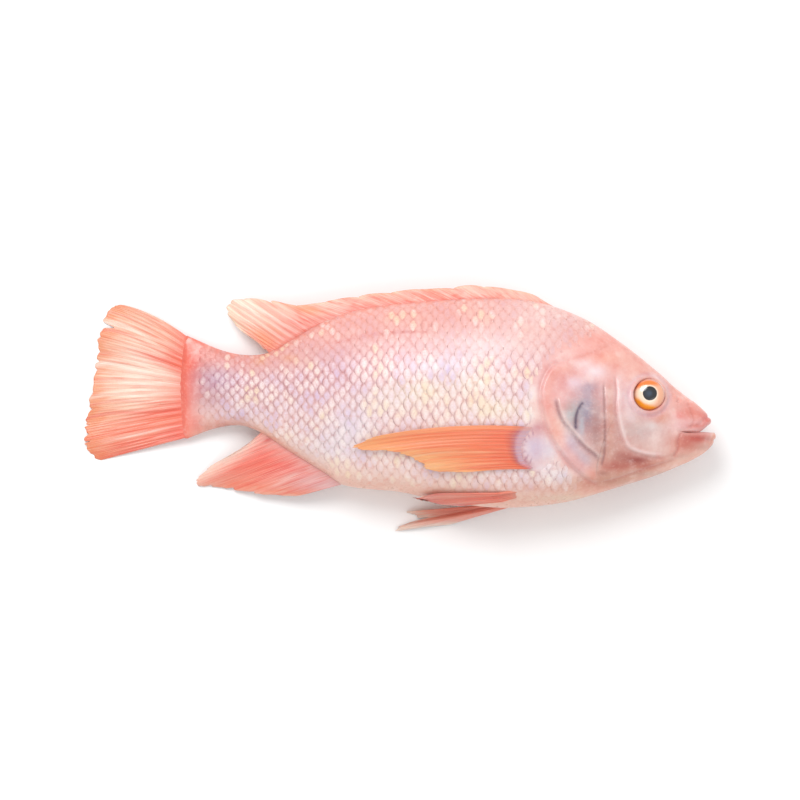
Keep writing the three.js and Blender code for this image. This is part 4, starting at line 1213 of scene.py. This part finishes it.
backFin = {
    "rise": 7.5, "droop": 7,
    # stations of root and tip, then the tip's height in rises
    "folded": [
        [0.29, 0.298, 0.3], [0.32, 0.35, 0.95], [0.4, 0.445, 1.1], [0.48, 0.535, 0.98],
        [0.56, 0.62, 0.96], [0.64, 0.71, 0.82], [0.71, 0.785, 1.0], [0.755, 0.86, 2.08],
        [0.79, 0.912, 2.65], [0.812, 0.925, 2.5], [0.826, 0.904, 1.6], [0.838, 0.86, 0.75],
    ],
    "grid": (40, 360), "rays": 27, "lobes": 16, "scallop": 0.16, "softFrom": 0.66,
    "root": 1.9, "edge": 0.5, "furrow": 0.45, "ripple": 0.4, "ripples": 19,
    "ramp": [[0, "EC8C80"], [0.25, "F6A294"], [0.6, "FBB8A6"], [1, "FBC0AC"]],
    "patches": [
        [0.6, 0.12, 0.6, 0.12, "FBC8B8", 0.7], [0.6, 0.3, 0.35, 0.05, "F4806E", 0.7],
        [0.5, 0.42, 0.5, 0.05, "F88C78", 0.6], [0.5, 0.52, 0.5, 0.06, "FABCB0", 0.6],
        [0.7, 0.56, 0.3, 0.04, "FA9462", 0.85], [0.85, 0.74, 0.5, 0.1, "FDE8D6", 0.95],
        [0.35, 0.86, 0.25, 0.08, "FA9460", 0.8], [0.2, 0.3, 0.12, 0.3, "E47A70", 0.5],
        [1.0, 0.86, 0.3, 0.12, "FBE2C8", 0.9],
    ],
    "streaks": [
        [0.16, 0.0, "F0705E", 0.6, 0.006], [0.25, 0.0, "EE6450", 0.7, 0.008],
        [0.33, 0.0, "F9C4B4", 0.7, 0.008], [0.46, 0.0, "EE6E5C", 0.6, 0.007],
        [0.6, 0.0, "F07A62", 0.6, 0.007], [0.72, 0.1, "FB9A66", 0.7, 0.01],
        [0.8, 0.4, "FDEEDC", 0.7, 0.008], [0.87, 0.0, "FA8F58", 0.6, 0.008],
        [0.97, 0.2, "F9A672", 0.6, 0.008],
    ],
    "tipTint": "FBC8AC", "rayTint": "EE7A66", "rayShare": 0.3,
}


def makeBackFin():
    # rays from the ridge that lean back, rise above it, and sink more the further they lean
    rays = []
    for root, tip, height in backFin["folded"]:
        top, _, _, _, middle = section(np.array(root))
        base = top - rootDepth
        sunk = backFin["droop"] * (tip - root) / 0.12
        rays.append([[xAt(root), base, middle], [xAt(tip), base + height * backFin["rise"], middle - sunk]])
    return makeFin("backFin", "dorsal_fin", plainFan(rays), backFin)


ventFin = {
    "reach": 45, "tableGap": 1.0,
    # station of the root, then how far back and down the tip is in reaches
    "spread": [
        [0.69, 0.55, 0.15], [0.735, 0.72, 0.25], [0.775, 0.88, 0.33], [0.803, 1.0, 0.39],
        [0.824, 0.79, 0.32], [0.84, 0.49, 0.25], [0.854, 0.15, 0.14],
    ],
    "grid": (56, 180), "rays": 12, "forkAt": 0.5, "lobes": 9, "scallop": 0.07,
    "splits": [[0.3, 0.05, 0.012]],
    "root": 1.7, "edge": 0.45, "furrow": 0.4, "ripple": 0.4, "ripples": 5,
    "ramp": [[0, "ECB0AC"], [0.12, "F09C92"], [0.28, "F6786A"], [0.6, "F98C74"], [1, "FAA488"]],
    "patches": [
        [0.75, 0.86, 0.6, 0.26, "FDE4D6", 0.95], [1.0, 0.66, 0.4, 0.22, "FDE0D0", 0.9],
        [0.3, 0.03, 0.4, 0.22, "E6BEBE", 0.9],
        [0.5, 0.45, 0.35, 0.16, "F8664E", 0.6], [0.9, 0.3, 0.15, 0.2, "F87A5C", 0.6],
        [0.1, 0.75, 0.08, 0.06, "CC3E3C", 0.7],
    ],
    "streaks": [
        [0.1, 0.5, "F0604E", 0.6, 0.02], [0.2, 0.2, "FBC0B0", 0.7, 0.018],
        [0.3, 0.1, "EE4E3C", 0.6, 0.02], [0.42, 0.3, "FAB09C", 0.6, 0.014],
        [0.52, 0.0, "F2543E", 0.6, 0.02], [0.62, 0.3, "FBBCA8", 0.6, 0.014],
        [0.7, 0.1, "F46A52", 0.7, 0.02], [0.84, 0.3, "F9A48C", 0.6, 0.02],
    ],
    "tipTint": "FCC0A8", "rayTint": "F05C48", "rayShare": 0.2,
}


def makeVentFin():
    # rays from the belly's line, back and down by shares of the reach, which droop towards the table
    rays = []
    for root, back, down in ventFin["spread"]:
        _, bottom, _, _, middle = section(np.array(root))
        base, x = bottom + rootDepth, xAt(root)
        drop = (ventFin["tableGap"] - middle) * min(back * 1.1, 1)
        tip = [x - back * ventFin["reach"], base - down * ventFin["reach"], middle + drop]
        rays.append([[x, base, middle], tip])
    return makeFin("ventFin", "anal_fin", plainFan(rays), ventFin)


def flatRays(fin, spread):
    # each ray's root and tip, seen from above
    rootX = xAt(fin["rootStation"])
    return [
        [[rootX - root * fin["length"], y0 * bodyDepth], [rootX - tip * fin["length"], y1 * bodyDepth]]
        for root, y0, tip, y1 in spread
    ]


def sinkOf(fin, u):
    # how deep a fin that lies on the flank is under the skin: falls straight to 0
    return fin["sink"] * np.maximum(1 - fin["emerge"] * u, 0)


breastFin = {
    "length": 78, "rootStation": 0.33, "lift": 1.1, "tipLift": 1.8, "shutLift": 0.9, "bow": 0.1,
    "sink": 2.6, "emerge": 11,  # depth of the root, and how many times the way to the surface fits in the fin
    # root and tip of each ray: back in shares of the length, then height in depths
    "halfSpread": [
        [0.01, -0.112, 0.985, -0.145], [0.045, -0.15, 1.117, -0.2], [0.085, -0.198, 0.867, -0.218],
        [0.09, -0.24, 0.727, -0.262], [0.07, -0.276, 0.647, -0.303], [0.03, -0.3, 0.42, -0.306],
    ],
    "shut": [
        [0.03, -0.3, 1.04, -0.31], [0.05, -0.325, 1.11, -0.33],
        [0.05, -0.35, 0.88, -0.352], [0.03, -0.37, 0.63, -0.372],
    ],
    "grid": (90, 150), "rays": 13, "lobes": 9, "scallop": 0.03,
    "splits": [[0.33, 0.03, 0.02]],
    "root": 0.7, "edge": 0.5, "furrow": 0.4, "ripple": 0.3, "ripples": 5,
    "ramp": [
        [0, "DCC4D6"], [0.08, "D6AEC2"], [0.1, "BC6C7C"], [0.13, "D85C48"], [0.17, "F46C46"],
        [0.4, "FB8254"], [0.75, "FD9460"], [1, "FDA66C"],
    ],
    "streaks": [
        [0.12, 0.1, "F4683E", 0.6, 0.02], [0.27, 0.3, "FDB482", 0.6, 0.015],
        [0.4, 0.1, "F66434", 0.6, 0.02], [0.52, 0.2, "FDBE90", 0.6, 0.015],
        [0.62, 0.1, "F86C3C", 0.5, 0.02], [0.74, 0.2, "FDC090", 0.5, 0.015],
        [0.86, 0.1, "F4603A", 0.6, 0.03],
    ],
    "tipTint": "FDB074",
    "patches": [
        [0.5, 0.03, 0.6, 0.05, "FBAA78", 0.6], [0.35, 0.9, 0.3, 0.12, "F4683C", 0.6],
        [0.95, 0.2, 0.15, 0.2, "FBA464", 0.6], [0.5, 0.3, 0.3, 0.12, "F8703E", 0.5],
        [0.85, 0.75, 0.2, 0.2, "FDBC80", 0.6],
    ],
    "rayTint": "FFB27C", "rayShare": 0.25,
}


def makeBreastFin(side):
    # a fan laid on the flank. It comes out of the fleshy base and then lifts with the square of the way out
    fin = breastFin
    rays = flatRays(fin, fin["halfSpread"]) if side > 0 else flatRays(fin, fin["shut"])[::-1]

    def middleOf(u, v):
        plan = fanPoints(rays, u, v)
        x, y = plan[..., 0], plan[..., 1] + fin["bow"] * bodyDepth * u * (1 - u) * (1 - v)
        lift = fin["lift"] + fin["tipLift"] * u * u if side > 0 else fin["shutLift"]
        return onFlank(x, y, side, lift + gentleRise(x, y) - sinkOf(fin, u))

    name = "breastFinRight" if side > 0 else "breastFinLeft"
    node = "pectoral_fin_right" if side > 0 else "pectoral_fin_left"
    return makeFin(name, node, middleOf, fin)


bellyFin = {
    "length": 50, "rootStation": 0.373, "tableGap": 0.9,
    "lift": 1.2, "tipLift": 1.0, "sink": 2.8, "emerge": 3.5,
    "hangFrom": 0.75,  # height of the left one's root, in heights of the mid plane
    "lying": [
        [-0.06, -0.412, 0.76, -0.402], [-0.06, -0.418, 0.98, -0.432],
        [-0.05, -0.43, 0.8, -0.448], [-0.03, -0.44, 0.52, -0.46],
    ],
    # root and tip of each ray: back in shares of the length, then the tip's height in depths
    "drooping": [[0.1, 1.06, -0.5], [0.06, 0.94, -0.535], [0.02, 1.15, -0.59], [0, 0.62, -0.565]],
    "grid": (60, 110), "rays": 6, "forkAt": 0.55, "lobes": 5, "scallop": 0.06,
    "splits": [[0.35, 0.1, 0.03]],
    "root": 1.3, "edge": 0.5, "furrow": 0.4, "ripple": 0.3, "ripples": 3,
    "ramp": [[0, "E8A08C"], [0.15, "E88A74"], [0.3, "EE7C66"], [0.7, "EA7C68"], [1, "D8625A"]],
    "patches": [[0.8, 0.2, 0.2, 0.3, "F09A84", 0.5]],
    "streaks": [
        [0.2, 0.1, "F8B49E", 0.6, 0.04], [0.5, 0.0, "DC5A48", 0.6, 0.05], [0.75, 0.2, "F6A892", 0.6, 0.04],
    ],
    "tipTint": "D8605A", "rayTint": "F4A890", "rayShare": 0.3,
}
leftBellyTint = {
    "ramp": [[0, "F08C78"], [0.3, "EC8874"], [0.7, "EE9A86"], [1, "F2C4B0"]],
    "patches": [[0.5, 0.1, 0.3, 0.3, "E87460", 0.6], [0.9, 0.75, 0.2, 0.2, "F6E2D4", 0.8]],
    "tipTint": "F4DCCC",
}


def makeBellyFin(side):
    # the right fin is a fan laid on the flank, the left one hangs from the belly to the table
    if side > 0:
        rays = flatRays(bellyFin, bellyFin["lying"])

        def middleOf(u, v):
            plan = fanPoints(rays, u, v)
            lift = bellyFin["lift"] + bellyFin["tipLift"] * u - sinkOf(bellyFin, u)
            return onFlank(plan[..., 0], plan[..., 1], side, lift)

        return makeFin("bellyFinRight", "pelvic_fin_right", middleOf, bellyFin)
    _, bottom, _, _, middle = section(np.array(bellyFin["rootStation"]))
    rootX, length = xAt(bellyFin["rootStation"]), bellyFin["length"]
    rays = []
    for root, tip, height in bellyFin["drooping"]:
        start = [rootX - root * length, bottom + rootDepth, middle * bellyFin["hangFrom"]]
        rays.append([start, [rootX - tip * length, height * bodyDepth, bellyFin["tableGap"]]])
    fin = {**bellyFin, **leftBellyTint}
    return makeFin("bellyFinLeft", "pelvic_fin_left", plainFan(rays), fin)


eyeball = {
    "grid": (48, 72), "radius": 0.96, "bulge": 0.92, "flatness": 0.62,
    "pupil": 0.47, "pupilShift": (0.05, 0.1), "iris": 0.93, "grain": 900,
    "cream": "F6DCC2", "pink": "ECAC8A", "orange": "F07A28", "yellow": "F29A1C", "fleck": "F0986A",
    "ring": "C88474", "halo": "FFF2E2", "pupilReflection": "2E3E50", "black": "0C0E14",
}


def eyeLook(side):
    # pupil with a painted reflection in its blue-grey middle, cream iris with an orange arc above and a
    # yellow one below, under a clear wet coat
    look = Look("eyeRight" if side > 0 else "eyeLeft", Roughness=0.12, Coat_Weight=1.0, Coat_Roughness=0.02)

    def tinted(weight, colour, name):
        return look.mix(weight, colour, rgb(eyeball[name]))

    across, up = look.layParts()
    grain = look.noise(look.node("ShaderNodeTexCoord", out="Object"), eyeball["grain"], 4, 0.6)
    radius = (across * across + up * up) ** 0.5
    offX, offY = across - eyeball["pupilShift"][0], up - eyeball["pupilShift"][1]
    pupilRadius = (offX * offX + offY * offY) ** 0.5 + (grain - 0.5) * 0.05
    above = (up - across * 0.15).ramp(0.4, 0.75) * radius.ramp(0.5, 0.75)
    below = (0.0 - up - across * 0.45).ramp(0.4, 0.75) * radius.ramp(0.52, 0.74)
    bright = (1 - (pupilRadius - eyeball["pupil"] - 0.04).size() * 12).ramp(0, 1)
    iris = tinted((radius + across * 0.3).ramp(0.4, 1.0), rgb(eyeball["cream"]), "pink")
    arcs = tinted(below, tinted(above, iris, "orange"), "yellow")
    flecked = tinted(grain.ramp(0.55, 0.8) * 0.25, arcs, "fleck")
    ringed = tinted(radius.ramp(0.9, 1.0) * 0.6, flecked, "ring")
    halo = tinted(bright * 0.4, ringed, "halo")
    # the pupil's middle, set off to one side, is a painted reflection in blue-grey that fades to black at the
    # pupil's edge
    pupil = tinted((pupilRadius + offX * 0.3).ramp(0.0, 0.34), rgb(eyeball["pupilReflection"]), "black")
    colour = look.mix(pupilRadius.ramp(eyeball["pupil"] + 0.02, eyeball["pupil"] - 0.02), halo, pupil)
    return look.finish(Base_Color=colour, Normal=look.bump(grain, 0.0001, 0.3))


def makeEye(side):
    # a flattened ball: radius times the sine outwards, depth times a power of the cosine along the gaze
    node = "eye_right" if side > 0 else "eye_left"
    low, high = nodeBox(node)
    centre, half = (low + high) / 2, (high - low) / 2
    polar = np.linspace(0, math.pi, eyeball["grid"][0])[1:-1, None]
    turn = np.linspace(0, 2 * math.pi, eyeball["grid"][1], endpoint=False)
    x, y = np.sin(polar) * np.cos(turn), np.sin(polar) * np.sin(turn)
    z = np.cos(polar) * np.ones_like(turn)
    dome = np.sign(z) * np.abs(z) ** eyeball["flatness"] * eyeball["bulge"]
    radii = half[:2] * eyeball["radius"]
    ball = np.stack([x * radii[0], y * radii[1], side * dome * half[2]], -1) + centre
    poles = centre + np.outer([side, -side], [0, 0, half[2] * eyeball["bulge"]])
    rows, columns = x.shape
    ends = np.arange(columns)
    quads, _, _ = gridFaces(rows, columns, wrap=True)
    top = capFan(rows * columns, ends)
    back = capFan(rows * columns + 1, (rows - 1) * columns + ends, flip=True)
    if side < 0:
        quads, top, back = quads[:, ::-1], top[:, ::-1], back[:, ::-1]
    front = np.append((z > 0).ravel(), [True, False])
    plan = np.concatenate([np.stack([x, y], -1).reshape(-1, 2), np.zeros((2, 2))]) / eyeball["iris"]
    plan = np.where(front[:, None], plan, plan * 1.2)
    corners = np.concatenate([quads.ravel(), top.ravel(), back.ravel()])
    onBack = np.repeat((~front[quads]).all(1), 4)
    onBack = np.concatenate([onBack, np.zeros(top.size, bool), np.ones(back.size, bool)])
    # on the bake map the front and the back are each an oval, half a turn of the polar angle wide
    spread = np.append(np.arccos(np.clip(z, -1, 1)).ravel(), [0, math.pi])[corners]
    reach = np.where(onBack, math.pi - spread, spread) / math.pi
    heading = np.append(np.arctan2(y, x).ravel(), [0, 0])[corners]
    bakeX = 0.25 + 0.5 * onBack + 0.23 * reach * np.cos(heading)
    bake = np.stack([bakeX, 0.5 + 0.92 * reach * np.sin(heading)], -1)
    maps = {"lay": 0.5 + 0.5 * plan[corners], "OFBake": bake}
    faces = quads.tolist() + top.tolist() + back.tolist()
    points = np.concatenate([ball.reshape(-1, 3), poles])
    name = "eyeRight" if side > 0 else "eyeLeft"
    return addPiece(name, points, faces, eyeLook(side), [node], maps)


makeSkin()
makeScales()
makeTailFin()
makeBackFin()
makeVentFin()
for flank in (1, -1):
    makeBreastFin(flank)
    makeBellyFin(flank)
    makeEye(flank)


studio = {
    "floor": 1.5,  # half its size
    "floorGrey": 0.95,
    "key": {"place": (-0.4, 0.8, 1.25), "size": 0.9, "power": 12},
    "fill": {"place": (0.6, -0.7, 1.2), "size": 1.2, "power": 2.4},
    "sky": 0.8,
    "lens": 200,
    "distance": 2.13,
    "elevation": 88,  # in degrees
    "aim": 0.545,  # height of the target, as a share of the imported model's
}


def makeFloor():
    # one square face, its corners at plus and minus the floor's half size
    half = studio["floor"]
    corners = [(-half, -half, 0), (half, -half, 0), (half, half, 0), (-half, half, 0)]
    mesh = bpy.data.meshes.new("floor")
    mesh.from_pydata(corners, [], [(0, 1, 2, 3)])
    floor = bpy.data.objects.new("floor", mesh)
    bpy.context.scene.collection.objects.link(floor)
    look = Look("paleFloor", Base_Color=[studio["floorGrey"]] * 3, Roughness=0.7)
    mesh.materials.append(look.material)


def makeLight(name):
    # a round lamp, turned so that it shines along minus its own place, towards the origin
    lamp = studio[name]
    light = bpy.data.lights.new(name, "AREA")
    light.shape = "DISK"
    light.size = lamp["size"]
    light.energy = lamp["power"]
    holder = bpy.data.objects.new(name, light)
    holder.location = lamp["place"]
    holder.rotation_euler = (-holder.location).to_track_quat("-Z", "Y").to_euler()
    bpy.context.scene.collection.objects.link(holder)


def makeCamera():
    # looks down on the flank, with the back of the fish up: the distance times the elevation's sine above
    # the table, and times its cosine in front of the target
    low, high = cadBox
    target = (low + high) / 2
    target.y = low.y + studio["aim"] * (high.y - low.y)
    distance, elevation = studio["distance"], math.radians(studio["elevation"])
    camera = bpy.data.cameras.new("camera")
    camera.lens = studio["lens"]
    camera.sensor_width = 36
    camera.clip_start = 0.05
    holder = bpy.data.objects.new("camera", camera)
    holder.location = (target.x, target.y - distance * math.cos(elevation), distance * math.sin(elevation))
    holder.rotation_euler = (math.pi / 2 - elevation, 0, 0)
    bpy.context.scene.collection.objects.link(holder)
    bpy.context.scene.camera = holder


makeFloor()
makeLight("key")
makeLight("fill")
world = bpy.data.worlds.new("studioSky")
world.use_nodes = True
world.node_tree.nodes["Background"].inputs["Color"].default_value = (1, 1, 1, 1)
world.node_tree.nodes["Background"].inputs["Strength"].default_value = studio["sky"]
bpy.context.scene.world = world
bpy.context.scene.view_settings.view_transform = "Standard"
makeCamera()
print("studio ready")
